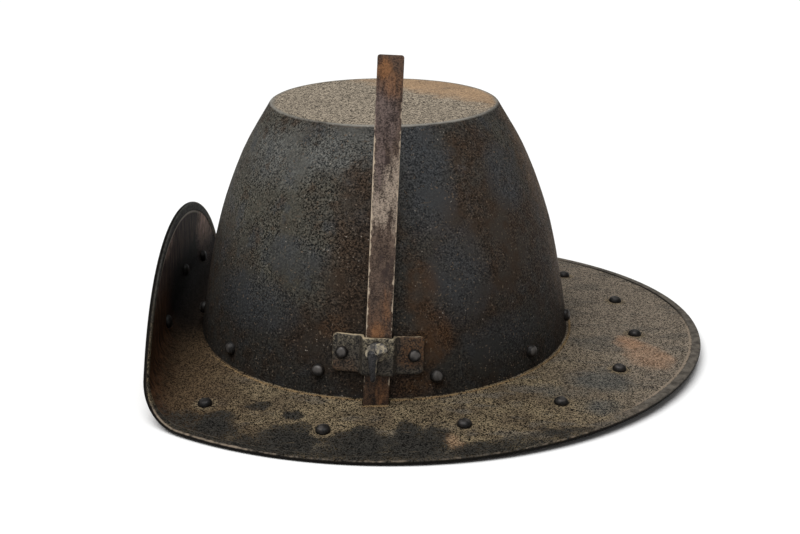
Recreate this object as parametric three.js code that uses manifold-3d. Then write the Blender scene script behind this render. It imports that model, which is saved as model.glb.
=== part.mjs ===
// An iron hat: a flat-topped crown riveted to a wide brim that is turned up on one side, with a
// flat nasal bar that slides in a bracket at the front and is clamped there by a thumb screw.
// Millimetres, +Z up, the front towards -Y. The hat stands on its brim at z = 0.
import * as THREE from "three";
import { mergeVertices } from "three/addons/utils/BufferGeometryUtils.js";
import Module from "manifold-3d";

// Driving dimensions
const GAP = 0.3; // left between pieces that touch on the real hat
const AROUND = 52; // sections around the crown and the brim

const CROWN = {
  height: 117.5,
  depthRatio: 1.125, // front-to-back over side-to-side
  wall: 1.6,
  topBevel: 1.3,
  sideSteps: 6,
};
// Half width of the crown at equal steps of its height, from the brim to the flat top.
const CROWN_SECTIONS = [
  { share: 0.0, halfWidth: 97.0 },
  { share: 0.2, halfWidth: 93.3 },
  { share: 0.4, halfWidth: 88.5 },
  { share: 0.6, halfWidth: 81.8 },
  { share: 0.8, halfWidth: 72.0 },
  { share: 1.0, halfWidth: 58.1 },
];

const BRIM = {
  halfWidth: 165.3,
  halfDepth: 160.2,
  skew: 0.012, // the hand-cut outline is this much fuller at the front right and the back left
  sheet: 1.7,
  droop: 3.65, // mean fall of the sheet from the crown to the edge
  saddle: 2.4, // the edge falls this much more at the front and back, and less at the sides
  saddleTurn: THREE.MathUtils.degToRad(10.5), // of the lowest places round towards -X at the front
  flangeHeight: 14.5, // the upright flange inside the crown
  sheetSteps: 13,
};
// The edge is rolled over; the roll stands proud of the sheet on both sides.
const HEM = { width: 4.6, proud: 0.35, corner: 0.9 };
// One side of the brim is bent up about a bowed line that runs front to back.
const FOLD = {
  offset: 96.6, // from the crown's axis to the start of the bend, beside the crown
  bow: 7.4, // how much nearer the axis the line lies at bowReach in front and behind
  bowReach: 150.0,
  radius: 15.7,
  angle: THREE.MathUtils.degToRad(92.6),
  twist: THREE.MathUtils.degToRad(2.5) / 100, // more bend towards the back, per millimetre
};

const BAR = { width: 11.8, thickness: 3.2, corner: 1.2, bottom: -4.5, top: 155.3 };
// The bar, bracket and screw share one leaning frame at the front of the crown's foot.
const NASAL = {
  aside: -2.9,
  clearOfCrown: 1.0,
  lean: THREE.MathUtils.degToRad(8), // backwards
  roll: THREE.MathUtils.degToRad(2.6), // towards +X at the top
};
const SLOT_CLEARANCE = 0.45;
const BRACKET = {
  halfWidth: 20.8,
  bottom: 12.3,
  top: 29.9,
  plate: 1.8,
  cornerCut: 2.4,
  bridgeHalfWidth: 6.9,
  bridgeShoulder: 1.6, // run of the slope from the bridge down to each wing
  wingSteps: 4,
  heightSteps: 4,
  barClearance: 0.4,
  rivetAcross: 16.5,
};
const SCREW = {
  height: 23.8,
  shankRadius: 2.0,
  bossRadius: 4.6,
  bossLength: 4.4,
  bossDome: 1.0,
  leafReach: 13.6,
  leafTipRadius: 1.0,
  leafThickness: 2.4,
  leafBevel: 0.5,
  leafTilt: THREE.MathUtils.degToRad(14), // from straight down, towards -X
};

const RIVET_SIDES = 8;
const DOME_STEPS = 2;
const HOLE_OVERRUN = 4.0; // of a cutter past the sheets that it cuts
// Grip is the thickness that a rivet passes through, from under its head to the top of its tail.
const RIVETS = {
  crown: { headRadius: 3.2, headHeight: 2.6, shankRadius: 1.5, grip: 4.3, tailRadius: 2.4, tailHeight: 1.0 },
  brim: { headRadius: 3.1, headHeight: 2.2, shankRadius: 1.5, grip: 1.7, tailRadius: 2.4, tailHeight: 0.8 },
  bracket: { headRadius: 2.5, headHeight: 2.2, shankRadius: 1.3, grip: 4.1, tailRadius: 2.1, tailHeight: 1 },
};
const RIVET_LIFT = 0.6; // of a brim rivet's head, which spans the hollow of the bend
// The rivets through the crown's foot, set by eye: degrees from the front towards +X, and height.
const CROWN_RIVETS = [
  { angle: -50.5, height: 8.5 },
  { angle: -18, height: 11 },
  { angle: 15, height: 9 },
  { angle: 48, height: 8.4 },
  { angle: 79, height: 8 },
  { angle: 112, height: 9 },
  { angle: 145, height: 9 },
  { angle: 178, height: 9 },
  { angle: 211, height: 9 },
  { angle: 244, height: 9 },
  { angle: 276, height: 9 },
];
// The rivets of the brim: degrees from the front towards +X, and share of the way to the edge.
const BRIM_RIVETS = [
  { angle: -121, share: 0.58 },
  { angle: -98, share: 0.47 },
  { angle: -72.5, share: 0.42 },
  { angle: -37.5, share: 0.55 },
  { angle: -11, share: 0.56 },
  { angle: 16, share: 0.51 },
  { angle: 37.5, share: 0.53 },
  { angle: 58.5, share: 0.53 },
  { angle: 79, share: 0.51 },
  { angle: 101.5, share: 0.50 },
  { angle: 124, share: 0.45 },
  { angle: 143, share: 0.50 },
  { angle: 163, share: 0.52 },
  { angle: 182, share: 0.51 },
  { angle: 201, share: 0.53 },
  { angle: 220, share: 0.52 },
];

// Heights that follow from the sizes above
const EDGE_UNDERSIDE_Z = HEM.proud + BRIM.saddle;
const CROWN_UNDERSIDE_Z = EDGE_UNDERSIDE_Z + BRIM.droop;
const CROWN_FOOT_Z = CROWN_UNDERSIDE_Z + BRIM.sheet + GAP;
const CROWN_FOOT = CROWN_SECTIONS[0].halfWidth;

const COLOURS = { crown: 0x2e2b28, brim: 0x5a4f40, bar: 0x5d4a40, fittings: 0x35302c };

const wasm = await Module();
wasm.setup();

// Geometry to solid and back

function solidOf(geometry) {
  const bare = geometry.clone();
  bare.deleteAttribute("normal");
  bare.deleteAttribute("uv");
  const merged = mergeVertices(bare, 1e-4);
  const corners = Array.from(merged.index.array);
  const kept = [];
  for (let i = 0; i < corners.length; i += 3) {
    const [a, b, c] = corners.slice(i, i + 3);
    if (a !== b && b !== c && a !== c) kept.push(a, b, c);
  }
  return new wasm.Manifold(
    new wasm.Mesh({
      numProp: 3,
      vertProperties: new Float32Array(merged.attributes.position.array),
      triVerts: new Uint32Array(kept),
    }),
  );
}

function geometryOf(solid) {
  const mesh = solid.getMesh();
  const geometry = new THREE.BufferGeometry();
  geometry.setAttribute("position", new THREE.BufferAttribute(mesh.vertProperties, 3));
  geometry.setIndex(new THREE.BufferAttribute(mesh.triVerts, 1));
  return geometry;
}

// A solid from rows of points: each row is a closed loop, and the rows close round or are capped.
function loopSolid(rows, closedRound) {
  const perRow = rows[0].length;
  const index = [];
  const rowPairs = closedRound ? rows.length : rows.length - 1;
  for (let i = 0; i < rowPairs; i++) {
    const next = (i + 1) % rows.length;
    for (let j = 0; j < perRow; j++) {
      const k = (j + 1) % perRow;
      const [a, b, c, d] = [i * perRow + j, next * perRow + j, next * perRow + k, i * perRow + k];
      index.push(a, b, c, a, c, d);
    }
  }
  if (!closedRound) {
    // Each end loop runs out along one face and back along the other, so it caps as a strip.
    for (const [row, flip] of [[0, false], [rows.length - 1, true]]) {
      const start = row * perRow;
      for (let j = 0; j < perRow / 2 - 1; j++) {
        const quad = [j, j + 1, perRow - 2 - j, perRow - 1 - j].map((n) => start + n);
        const [a, b, c, d] = flip ? quad.toReversed() : quad;
        index.push(a, b, c, a, c, d);
      }
    }
  }
  const geometry = new THREE.BufferGeometry().setFromPoints(rows.flat());
  geometry.setIndex(index);
  return geometry;
}

// Surfaces that the pieces are set on

// Half width of the crown at a share of its height: a smooth curve through the sections.
function crownHalfWidth(share) {
  const last = CROWN_SECTIONS.length - 1;
  const place = THREE.MathUtils.clamp(share, 0, 1) * last;
  const i = Math.min(Math.floor(place), last - 1);
  const t = place - i;
  const at = (n) => CROWN_SECTIONS[THREE.MathUtils.clamp(n, 0, last)].halfWidth;
  const slope = (n) => (at(n + 1) - at(n - 1)) / (n > 0 && n < last ? 2 : 1);
  const [t2, t3] = [t * t, t * t * t];
  return (
    (2 * t3 - 3 * t2 + 1) * at(i) + (t3 - 2 * t2 + t) * slope(i) +
    (3 * t2 - 2 * t3) * at(i + 1) + (t3 - t2) * slope(i + 1)
  );
}

// A point of the crown at an angle from the front and a height above its foot, inset from its outside.
function crownPoint(angle, height, inset = 0) {
  const half = crownHalfWidth(height / CROWN.height) - inset;
  return new THREE.Vector3(
    half * Math.sin(angle),
    -half * CROWN.depthRatio * Math.cos(angle),
    CROWN_FOOT_Z + height,
  );
}

// The brim's outer edge in plan, before one side is bent up.
function brimEdge(angle) {
  const fullness = 1 + BRIM.skew * Math.sin(2 * angle);
  return new THREE.Vector2(
    BRIM.halfWidth * fullness * Math.sin(angle),
    -BRIM.halfDepth * fullness * Math.cos(angle),
  );
}

function brimWidthAt(angle) {
  const foot = crownPoint(angle, 0);
  return brimEdge(angle).distanceTo(new THREE.Vector2(foot.x, foot.y));
}

// A point of the brim: out from the crown's foot, and lifted off the sheet's underside.
function brimPoint(angle, out, lift) {
  const width = brimWidthAt(angle);
  const foot = crownPoint(angle, 0);
  const { x, y } = new THREE.Vector2(foot.x, foot.y).lerp(brimEdge(angle), out / width);
  const fall = BRIM.droop + BRIM.saddle * Math.cos(2 * (angle + BRIM.saddleTurn));
  const z = CROWN_UNDERSIDE_Z - fall * Math.min(1, out / (width - HEM.width));
  const start = FOLD.offset - FOLD.bow * (y / FOLD.bowReach) ** 2;
  const beyond = -x - start;
  if (beyond <= 0) return new THREE.Vector3(x, y, z + lift);
  const full = FOLD.angle + FOLD.twist * y;
  const turn = Math.min(beyond / FOLD.radius, full);
  const straight = Math.max(0, beyond - FOLD.radius * full);
  return new THREE.Vector3(
    -start - (FOLD.radius - lift) * Math.sin(turn) - straight * Math.cos(turn),
    y,
    z + FOLD.radius - (FOLD.radius - lift) * Math.cos(turn) + straight * Math.sin(turn),
  );
}

// The outward normal of a surface given as a function of two parameters.
function normalOf(surface, u, v, stepU, stepV) {
  const alongU = surface(u + stepU, v).sub(surface(u - stepU, v));
  const alongV = surface(u, v + stepV).sub(surface(u, v - stepV));
  return alongU.cross(alongV).normalize();
}

// Rivets

function rivetGeometry({ headRadius, headHeight, shankRadius, grip, tailRadius, tailHeight }) {
  const tailTop = -grip - GAP;
  const profile = [
    [0, tailTop - tailHeight],
    [tailRadius, tailTop - tailHeight],
    [shankRadius, tailTop],
    [shankRadius, GAP],
  ].map(([r, z]) => new THREE.Vector2(r, z));
  for (let i = 0; i <= DOME_STEPS; i++) {
    const turn = (i / DOME_STEPS) * (Math.PI / 2);
    const radius = i < DOME_STEPS ? headRadius * Math.cos(turn) : 0;
    profile.push(new THREE.Vector2(radius, GAP + headHeight * Math.sin(turn)));
  }
  return new THREE.LatheGeometry(profile, RIVET_SIDES).rotateX(Math.PI / 2);
}

function rivetHole({ shankRadius, grip }) {
  const radius = shankRadius + GAP;
  const length = 2 * (grip + HOLE_OVERRUN);
  return new THREE.CylinderGeometry(radius, radius, length, RIVET_SIDES).rotateX(Math.PI / 2);
}

// Seats for rivets, each a place and an outward direction

function crownRivetSeats() {
  const surface = (angle, height) => crownPoint(angle, height);
  return CROWN_RIVETS.map((rivet) => {
    const angle = THREE.MathUtils.degToRad(rivet.angle);
    return {
      position: crownPoint(angle, rivet.height),
      normal: normalOf(surface, angle, rivet.height, 0.01, 1),
    };
  });
}

function brimRivetSeats() {
  const surface = (angle, out) => brimPoint(angle, out, BRIM.sheet);
  return BRIM_RIVETS.map((rivet) => {
    const angle = THREE.MathUtils.degToRad(rivet.angle);
    const out = rivet.share * brimWidthAt(angle);
    const normal = normalOf(surface, angle, out, 0.01, 1).negate();
    return { position: brimPoint(angle, out, BRIM.sheet), normal };
  });
}

function bracketRivetSeats() {
  const middle = (BRACKET.bottom + BRACKET.top) / 2;
  return [-1, 1].map((side) => {
    const surface = (across, height) => new THREE.Vector3(across, wingFace(across, height), height);
    const across = side * BRACKET.rivetAcross;
    return {
      position: surface(across, middle),
      normal: normalOf(surface, across, middle, 1, 1),
    };
  });
}

function seated(geometry, seat) {
  const turned = new THREE.Quaternion().setFromUnitVectors(new THREE.Vector3(0, 0, 1), seat.normal);
  return geometry.clone().applyQuaternion(turned).translate(...seat.position.toArray());
}

function drilled(geometry, seats, size) {
  return geometryOf(
    seats.reduce((solid, seat) => solid.subtract(solidOf(seated(rivetHole(size), seat))), solidOf(geometry)),
  );
}

// The frame that the nasal bar slides in: X across the bar, +Y towards the crown, Z along the bar.

const nasalFrame = new THREE.Matrix4()
  .makeRotationFromEuler(new THREE.Euler(-NASAL.lean, NASAL.roll, 0))
  .setPosition(NASAL.aside, -CROWN_FOOT * CROWN.depthRatio - NASAL.clearOfCrown, CROWN_FOOT_Z);

// Depth of the crown's outside behind the bar's back plane, found by halving.
function crownDepth(across, height) {
  let [near, far] = [-10, 40];
  for (let i = 0; i < 40; i++) {
    const middle = (near + far) / 2;
    const p = new THREE.Vector3(across, middle, height).applyMatrix4(nasalFrame);
    const reach = Math.hypot(p.x, p.y / CROWN.depthRatio);
    const inside = reach < crownHalfWidth((p.z - CROWN_FOOT_Z) / CROWN.height);
    if (inside) far = middle;
    else near = middle;
  }
  return near;
}

// The front face of the bracket's wings, where they lie on the crown.
function wingFace(across, height) {
  return crownDepth(across, height) - GAP - BRACKET.plate;
}

// Pieces

function crownGeometry() {
  const outside = [];
  const inside = [];
  for (let i = 0; i <= CROWN.sideSteps; i++) {
    const share = i / CROWN.sideSteps;
    const half = crownHalfWidth(share);
    outside.push(new THREE.Vector2(half, share * (CROWN.height - CROWN.topBevel)));
    inside.push(new THREE.Vector2(half - CROWN.wall, share * (CROWN.height - CROWN.wall)));
  }
  const topHalf = crownHalfWidth(1);
  const profile = [
    new THREE.Vector2(0, CROWN.height - CROWN.wall),
    ...inside.toReversed(),
    ...outside,
    new THREE.Vector2(topHalf - CROWN.topBevel, CROWN.height),
    new THREE.Vector2(0, CROWN.height),
  ];
  const shell = new THREE.LatheGeometry(profile, AROUND)
    .rotateX(Math.PI / 2)
    .scale(1, CROWN.depthRatio, 1)
    .translate(0, 0, CROWN_FOOT_Z);
  const lifted = bracketRivetSeats().map(({ position, normal }) => ({
    position: position.applyMatrix4(nasalFrame),
    normal: normal.transformDirection(nasalFrame),
  }));
  return drilled(drilled(shell, crownRivetSeats(), RIVETS.crown), lifted, RIVETS.bracket);
}

// One section through the brim: up the flange's inside, out along the underside, round the rolled
// edge, back along the top and up the flange's outside.
function brimSection(angle) {
  const width = brimWidthAt(angle);
  const hemStart = width - HEM.width;
  const flangeFace = CROWN.wall + GAP;
  const flangeBack = flangeFace + BRIM.sheet;
  const foot = CROWN_UNDERSIDE_Z - CROWN_FOOT_Z;
  const points = [
    crownPoint(angle, BRIM.flangeHeight, flangeBack),
    crownPoint(angle, foot + BRIM.sheet, flangeBack),
  ];
  const steps = Array.from({ length: BRIM.sheetSteps + 1 }, (_, i) => i / BRIM.sheetSteps);
  points.push(...steps.map((share) => brimPoint(angle, hemStart * share, 0)));
  const roll = [
    { out: HEM.corner, lift: -HEM.proud },
    { out: HEM.width - HEM.corner, lift: -HEM.proud },
    { out: HEM.width, lift: HEM.corner - HEM.proud },
    { out: HEM.width, lift: BRIM.sheet + HEM.proud - HEM.corner },
    { out: HEM.width - HEM.corner, lift: BRIM.sheet + HEM.proud },
    { out: 0, lift: BRIM.sheet + HEM.proud },
  ];
  points.push(...roll.map(({ out, lift }) => brimPoint(angle, hemStart + out, lift)));
  points.push(...steps.toReversed().map((share) => brimPoint(angle, hemStart * share, BRIM.sheet)));
  points.push(
    crownPoint(angle, foot + BRIM.sheet, flangeFace),
    crownPoint(angle, BRIM.flangeHeight, flangeFace),
  );
  return points;
}

function brimGeometry() {
  const rows = Array.from({ length: AROUND }, (_, i) => brimSection((2 * Math.PI * i) / AROUND));
  const sheet = loopSolid(rows, true);
  const slot = new THREE.BoxGeometry(
    BAR.width + 2 * SLOT_CLEARANCE, BAR.thickness + 2 * SLOT_CLEARANCE, 4 * CROWN_FOOT_Z,
  ).translate(0, -BAR.thickness / 2, 0).applyMatrix4(nasalFrame);
  const slotted = geometryOf(solidOf(sheet).subtract(solidOf(slot)));
  return drilled(drilled(slotted, brimRivetSeats(), RIVETS.brim), crownRivetSeats(), RIVETS.crown);
}

function barGeometry() {
  const half = BAR.width / 2;
  const outline = new THREE.Shape()
    .moveTo(-half, BAR.bottom)
    .lineTo(half, BAR.bottom)
    .lineTo(half, BAR.top - BAR.corner)
    .quadraticCurveTo(half, BAR.top, half - BAR.corner, BAR.top)
    .lineTo(BAR.corner - half, BAR.top)
    .quadraticCurveTo(-half, BAR.top, -half, BAR.top - BAR.corner);
  return new THREE.ExtrudeGeometry(outline, { depth: BAR.thickness, bevelEnabled: false, curveSegments: 3 })
    .rotateX(Math.PI / 2);
}

// A plate with a wing on each side that lies on the crown, and a bridge between them over the bar.
function bracketGeometry() {
  const { halfWidth, bridgeHalfWidth, bridgeShoulder, cornerCut, wingSteps } = BRACKET;
  const wing = Array.from({ length: wingSteps }, (_, i) =>
    THREE.MathUtils.lerp(bridgeHalfWidth + bridgeShoulder, halfWidth - cornerCut, i / (wingSteps - 1)));
  const right = [bridgeHalfWidth, ...wing, halfWidth];
  const columns = [...right.toReversed(), 0, ...right.map((across) => -across)];
  const bridgeBack = -BAR.thickness - BRACKET.barClearance;
  const rows = columns.map((across) => {
    const cut = Math.max(0, Math.abs(across) - (halfWidth - cornerCut));
    const onBridge = Math.abs(across) <= bridgeHalfWidth;
    const back = [];
    for (let i = 0; i <= BRACKET.heightSteps; i++) {
      const height = THREE.MathUtils.lerp(BRACKET.bottom + cut, BRACKET.top - cut, i / BRACKET.heightSteps);
      const depth = onBridge ? bridgeBack : crownDepth(across, height) - GAP;
      back.push(new THREE.Vector3(across, depth, height));
    }
    const front = back.toReversed().map((p) => new THREE.Vector3(p.x, p.y - BRACKET.plate, p.z));
    return [...back, ...front];
  });
  const holeRadius = SCREW.shankRadius + GAP;
  const holeLength = 2 * (BAR.thickness + BRACKET.plate + HOLE_OVERRUN);
  const hole = new THREE.CylinderGeometry(holeRadius, holeRadius, holeLength, 2 * RIVET_SIDES)
    .translate(0, 0, SCREW.height);
  const plate = geometryOf(solidOf(loopSolid(rows, false)).subtract(solidOf(hole)));
  return drilled(plate, bracketRivetSeats(), RIVETS.bracket);
}

// A round boss on a plain shank, with one drop-shaped leaf to turn it by. Its axis runs along -Y.
function screwGeometry() {
  const tip = BAR.thickness + GAP;
  const bossStart = BAR.thickness + BRACKET.barClearance + BRACKET.plate + GAP;
  const bossEnd = bossStart + SCREW.bossLength;
  const turned = new THREE.LatheGeometry(
    [
      [0, tip],
      [SCREW.shankRadius, tip],
      [SCREW.shankRadius, bossStart],
      [SCREW.bossRadius, bossStart],
      [SCREW.bossRadius, bossEnd - SCREW.bossDome],
      [SCREW.bossRadius * 0.65, bossEnd],
      [0, bossEnd],
    ].map(([r, y]) => new THREE.Vector2(r, y)),
    2 * RIVET_SIDES,
  ).rotateX(Math.PI);
  const root = SCREW.bossRadius * 0.85;
  const outline = new THREE.Shape()
    .moveTo(-root, 0)
    .quadraticCurveTo(-root, -SCREW.leafReach * 0.5, -SCREW.leafTipRadius, -SCREW.leafReach)
    .lineTo(SCREW.leafTipRadius, -SCREW.leafReach)
    .quadraticCurveTo(root, -SCREW.leafReach * 0.5, root, 0);
  const leaf = new THREE.ExtrudeGeometry(outline, {
    depth: SCREW.leafThickness - 2 * SCREW.leafBevel,
    bevelThickness: SCREW.leafBevel,
    bevelSize: SCREW.leafBevel,
    bevelOffset: -SCREW.leafBevel,
    bevelSegments: 1,
    curveSegments: 5,
  })
    .rotateX(Math.PI / 2)
    .rotateY(SCREW.leafTilt)
    .translate(0, -(bossEnd - SCREW.bossDome - SCREW.leafThickness + SCREW.leafBevel), 0);
  return geometryOf(solidOf(turned).add(solidOf(leaf))).translate(0, 0, SCREW.height);
}

// Assembly

function ironMaterial(color, roughness) {
  return new THREE.MeshStandardMaterial({ color, roughness, metalness: 0.8, flatShading: true });
}

function namedMesh(name, geometry, material) {
  const mesh = new THREE.Mesh(geometry, material);
  mesh.name = name;
  return mesh;
}

const materials = {
  crown: ironMaterial(COLOURS.crown, 0.6),
  brim: ironMaterial(COLOURS.brim, 0.75),
  bar: ironMaterial(COLOURS.bar, 0.55),
  fittings: ironMaterial(COLOURS.fittings, 0.6),
};

function riveted(prefix, seats, size, lift = 0) {
  const shape = rivetGeometry({ ...size, grip: size.grip + lift });
  return seats.map((seat, i) => {
    const mesh = namedMesh(`${prefix}_rivet_${String(i + 1).padStart(2, "0")}`, shape, materials.fittings);
    mesh.position.copy(seat.position).addScaledVector(seat.normal, lift);
    mesh.quaternion.setFromUnitVectors(new THREE.Vector3(0, 0, 1), seat.normal);
    return mesh;
  });
}

const hat = new THREE.Group();
hat.add(
  namedMesh("crown", crownGeometry(), materials.crown),
  namedMesh("brim", brimGeometry(), materials.brim),
  ...riveted("crown", crownRivetSeats(), RIVETS.crown),
  ...riveted("brim", brimRivetSeats(), RIVETS.brim, RIVET_LIFT),
);

const nasal = new THREE.Group();
nasal.applyMatrix4(nasalFrame);
nasal.add(
  namedMesh("nasal_bar", barGeometry(), materials.bar),
  namedMesh("bracket", bracketGeometry(), materials.fittings),
  namedMesh("thumb_screw", screwGeometry(), materials.fittings),
  ...riveted("bracket", bracketRivetSeats(), RIVETS.bracket),
);
hat.add(nasal);

// The origin is under the middle of the hat's box, on the surface that it stands on.
const hatBox = new THREE.Box3().setFromObject(hat, true);
const middle = hatBox.getCenter(new THREE.Vector3());
hat.position.set(-middle.x, -middle.y, -hatBox.min.z);

export default hat;
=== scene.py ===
"""An old iron hat: a flat-topped crown on a wide brim that is turned up on one side, with a nasal bar
that slides in a bracket at the front. Shapes are in millimetres in the hat's own frame, where Z is
the crown's axis and the front is towards -Y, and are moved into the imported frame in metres."""
import math

import bmesh
import bpy
import numpy as np
from mathutils import Euler, Matrix, Vector, noise


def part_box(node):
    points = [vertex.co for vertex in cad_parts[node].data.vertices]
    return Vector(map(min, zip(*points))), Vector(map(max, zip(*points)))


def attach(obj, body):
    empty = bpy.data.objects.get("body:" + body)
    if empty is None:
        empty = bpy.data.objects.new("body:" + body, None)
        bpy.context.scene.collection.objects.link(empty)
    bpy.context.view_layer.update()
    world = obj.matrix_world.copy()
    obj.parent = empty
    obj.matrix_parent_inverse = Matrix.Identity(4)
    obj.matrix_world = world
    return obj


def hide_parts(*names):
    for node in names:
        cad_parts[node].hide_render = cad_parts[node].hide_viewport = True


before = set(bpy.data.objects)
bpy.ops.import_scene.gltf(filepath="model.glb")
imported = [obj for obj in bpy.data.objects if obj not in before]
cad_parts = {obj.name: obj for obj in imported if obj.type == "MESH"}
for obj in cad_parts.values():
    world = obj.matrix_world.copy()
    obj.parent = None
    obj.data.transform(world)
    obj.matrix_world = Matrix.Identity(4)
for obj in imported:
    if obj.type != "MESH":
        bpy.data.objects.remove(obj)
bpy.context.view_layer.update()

MM = 0.001
SAME_PLACE = 0.002  # points that are closer than this are joined
# Steps for finding the direction square to a surface
ANGLE_STEP = 0.01
LENGTH_STEP = 1

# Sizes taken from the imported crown
CROWN_LOW, CROWN_HIGH = [np.array(corner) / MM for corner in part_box("crown")]
CROWN_SPAN = CROWN_HIGH - CROWN_LOW
CROWN_HEIGHT = CROWN_SPAN[2]
DEPTH_RATIO = CROWN_SPAN[1] / CROWN_SPAN[0]
CROWN_AXIS = (CROWN_LOW + CROWN_HIGH) / 2

# Crown
GAP = 0.3
CROWN_WALL = 1.6
CROWN_BEVEL = 1.1
# Half width at equal steps of the height, from the brim to the flat top
CROWN_HALF_WIDTHS = np.array([97.0, 93.3, 88.5, 81.8, 72.0, 58.1])
# Depth and size of the broad hammering and of the finer unevenness, which both only go inwards
CROWN_DENT = 0.45
CROWN_DENT_SIZE = 34
CROWN_PIT = 0.12
CROWN_PIT_SIZE = 6
CROWN_DEEPEST = 0.8
CROWN_AROUND = 264
CROWN_INNER_ROWS = 14
CROWN_SIDE_ROWS = 96
CROWN_TOP_ROWS = 25
BEVEL_DUST = 0.7  # how dusty the row beside the flat top is
# How bright the rows over the rounded top edge are rubbed and carry a painted highlight, from the side to the
# top
BEVEL_SHINE = (0.0, 0.4, 0.8, 1.0, 0.8, 0.0)

# Brim
BRIM_HALF_WIDTH = 165.3
BRIM_HALF_DEPTH = 160.2
BRIM_SKEW = 0.012
BRIM_SHEET = 1.7
BRIM_DROOP = 3.65
BRIM_SADDLE = 2.4
BRIM_SADDLE_TURN = math.radians(10.5)
FLANGE_HEIGHT = 14.5
FLANGE_OUTER = CROWN_WALL + GAP  # inwards from the crown's outside
FLANGE_INNER = FLANGE_OUTER + BRIM_SHEET
HEM_WIDTH = 4.6
HEM_PROUD = 0.35
ROLL_ROUND = 1.2  # how far the roll's outer side bulges
ROLL_FOOT = 0.15  # out from the roll's inner border to where its side starts to rise
ROLL_FOOT_RISE = 0.2
ROLL_SHOULDER = 0.7  # out from the roll's inner border to its flat top
ROLL_SLACK = 0.01  # in telling the roll from the sheet
SHEET_MARGIN = 6.0  # beside the crown and the roll, where the brim is meshed more finely
LIP_HEIGHT = 0.6  # of the ridge on the brim along the crown's foot
LIP_OUT = 1.3
LIP_WIDTH = 0.55
LIP_UNEVEN = 0.5
LIP_UNEVEN_SIZE = 9
BRIM_AROUND = 400
UNDER_BELOW = 0.5  # lift under which the roll counts as underside
TOP_ABOVE = 1.0  # lift over which it counts as top side
BRIM_WAVE = 0.25  # height of the sheet's slow waves
BRIM_WAVE_SIZE = 45
STAIN_DRIFT = 3  # how far the borders of the brim's stains wander
DRIFT_SIZE_X = 9
DRIFT_SIZE_Y = 8
FOLD_OFFSET = 96.6
FOLD_BOW = 7.4
FOLD_BOW_REACH = 150.0
FOLD_RADIUS = 15.7
FOLD_ANGLE = math.radians(92.6)
FOLD_TWIST = math.radians(2.5) / 100
UNDERSIDE_Z = HEM_PROUD + BRIM_SADDLE + BRIM_DROOP  # of the sheet at the crown
FOOT_Z = UNDERSIDE_Z + BRIM_SHEET + GAP

# Nasal bar, bracket and thumb screw, in a frame with X across the bar and Z along it
BAR_WIDTH = 11.8
BAR_THICKNESS = 3.2
BAR_EDGE = 0.55
BAR_CORNER = 1.2
BAR_BOTTOM = -4.5
BAR_TOP = 155.3
BAR_END_ROUND = 0.5
BAR_END_STEPS = np.array([0.0, 0.15, 0.4, 0.8, 1.2])  # rows at each end, from the end
BAR_END = 1.6
BAR_BITE = 0.05  # depth of the wear along the edges
BAR_NOTCH = 0.08  # depth of its finer notches
NASAL_ASIDE = -2.9
NASAL_CLEAR = 1.0
NASAL_LEAN = math.radians(8)
NASAL_ROLL = math.radians(2.6)
SLOT_CLEARANCE = 0.45
SLOT_FRONT = 115.0  # from the crown's axis to just in front of the slot
SLOT_CUT = (-25, 3)  # along the bar, from below the brim to above it
BRACKET_HALF_WIDTH = 20.8
BRACKET_BOTTOM = 12.3
BRACKET_TOP = 29.9
BRACKET_PLATE = 1.8
BRACKET_CORNER = 2.4
BRACKET_CORNER_DROP = 0.8  # of the corners' height, as a share of the rounding
BRACKET_END_ROUND = 0.5
# Rows at the lower and upper edge of the front, as shares of the height, and how far they lie back
BRACKET_EDGE_STEPS = np.array([0.0, 0.012, 0.035])
BRACKET_EDGE_DROPS = [0.5, 0.22, 0.06]
BRACKET_FRONT_ROWS = 20
BRACKET_BACK_ROWS = 8
BRACKET_END_STEPS = np.array([0.0, 0.12, 0.4])  # columns at each end, from the end
BRACKET_END = 0.8
BRACKET_LOW_WANDER = 0.25
BRACKET_HIGH_WANDER = 0.35
BRACKET_UNEVEN = 0.12
BRIDGE_CLEARANCE = 0.4
BRIDGE_BACK = -BAR_THICKNESS - BRIDGE_CLEARANCE
# Across, where each side of the plate leaves the wing and where it reaches the bridge
BRIDGE_SHOULDER_FRONT = (8.8, 6.7)
BRIDGE_SHOULDER_BACK = (7.0, 6.3)
BRACKET_RIVET_ACROSS = 16.5
SCREW_HEIGHT = 23.8
SCREW_SHANK = 2.0
SCREW_BOSS = 4.6
SCREW_BOSS_LENGTH = 4.4
SCREW_AROUND = 40
SHANK_END = -BAR_THICKNESS - GAP
BOSS_BACK = BRIDGE_BACK - BRACKET_PLATE - GAP
BOSS_TIP = BOSS_BACK - SCREW_BOSS_LENGTH
BOSS_BEVEL = 0.3
BOSS_RIM = 0.6  # height of the boss's side under its dome
LEAF_REACH = 14.6
LEAF_TILT = math.radians(-3)
LEAF_ASIDE = -2.4  # from the boss's axis to the leaf's middle line
LEAF_HALF_WIDTH = 2.4
BOSS_STRETCH = 1.3  # of the boss towards the leaf's side
# Flat faces broken off the boss: direction across, out and up, distance from the middle, brightness from
# rubbing and painted light, highest on the face turned up
BOSS_FACETS = [
    (0.35, -0.75, 0.45, 3.3, 0.82), (-0.65, -0.70, 0.30, 3.7, 0.64), (0.50, -0.70, -0.50, 3.2, 0.5),
]
BOSS_FULLNESS = 0.7  # below 1, fuller than a half ball
BOSS_LUMP = 0.25
BOSS_LUMP_SIZE = 3.5
LEAF_TAPER = 0.55
LEAF_HALF_THICKNESS = 1.5
LEAF_THINNING = 0.8
LEAF_BOW = 1.3  # how far the leaf's middle stands out
LEAF_START = 1.0  # above the boss's middle
LEAF_LUMP = np.array([0.15, 0.1, 0.0])
LEAF_LUMP_SIZE = 3
LEAF_HIGHLIGHT = 0.7
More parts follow.
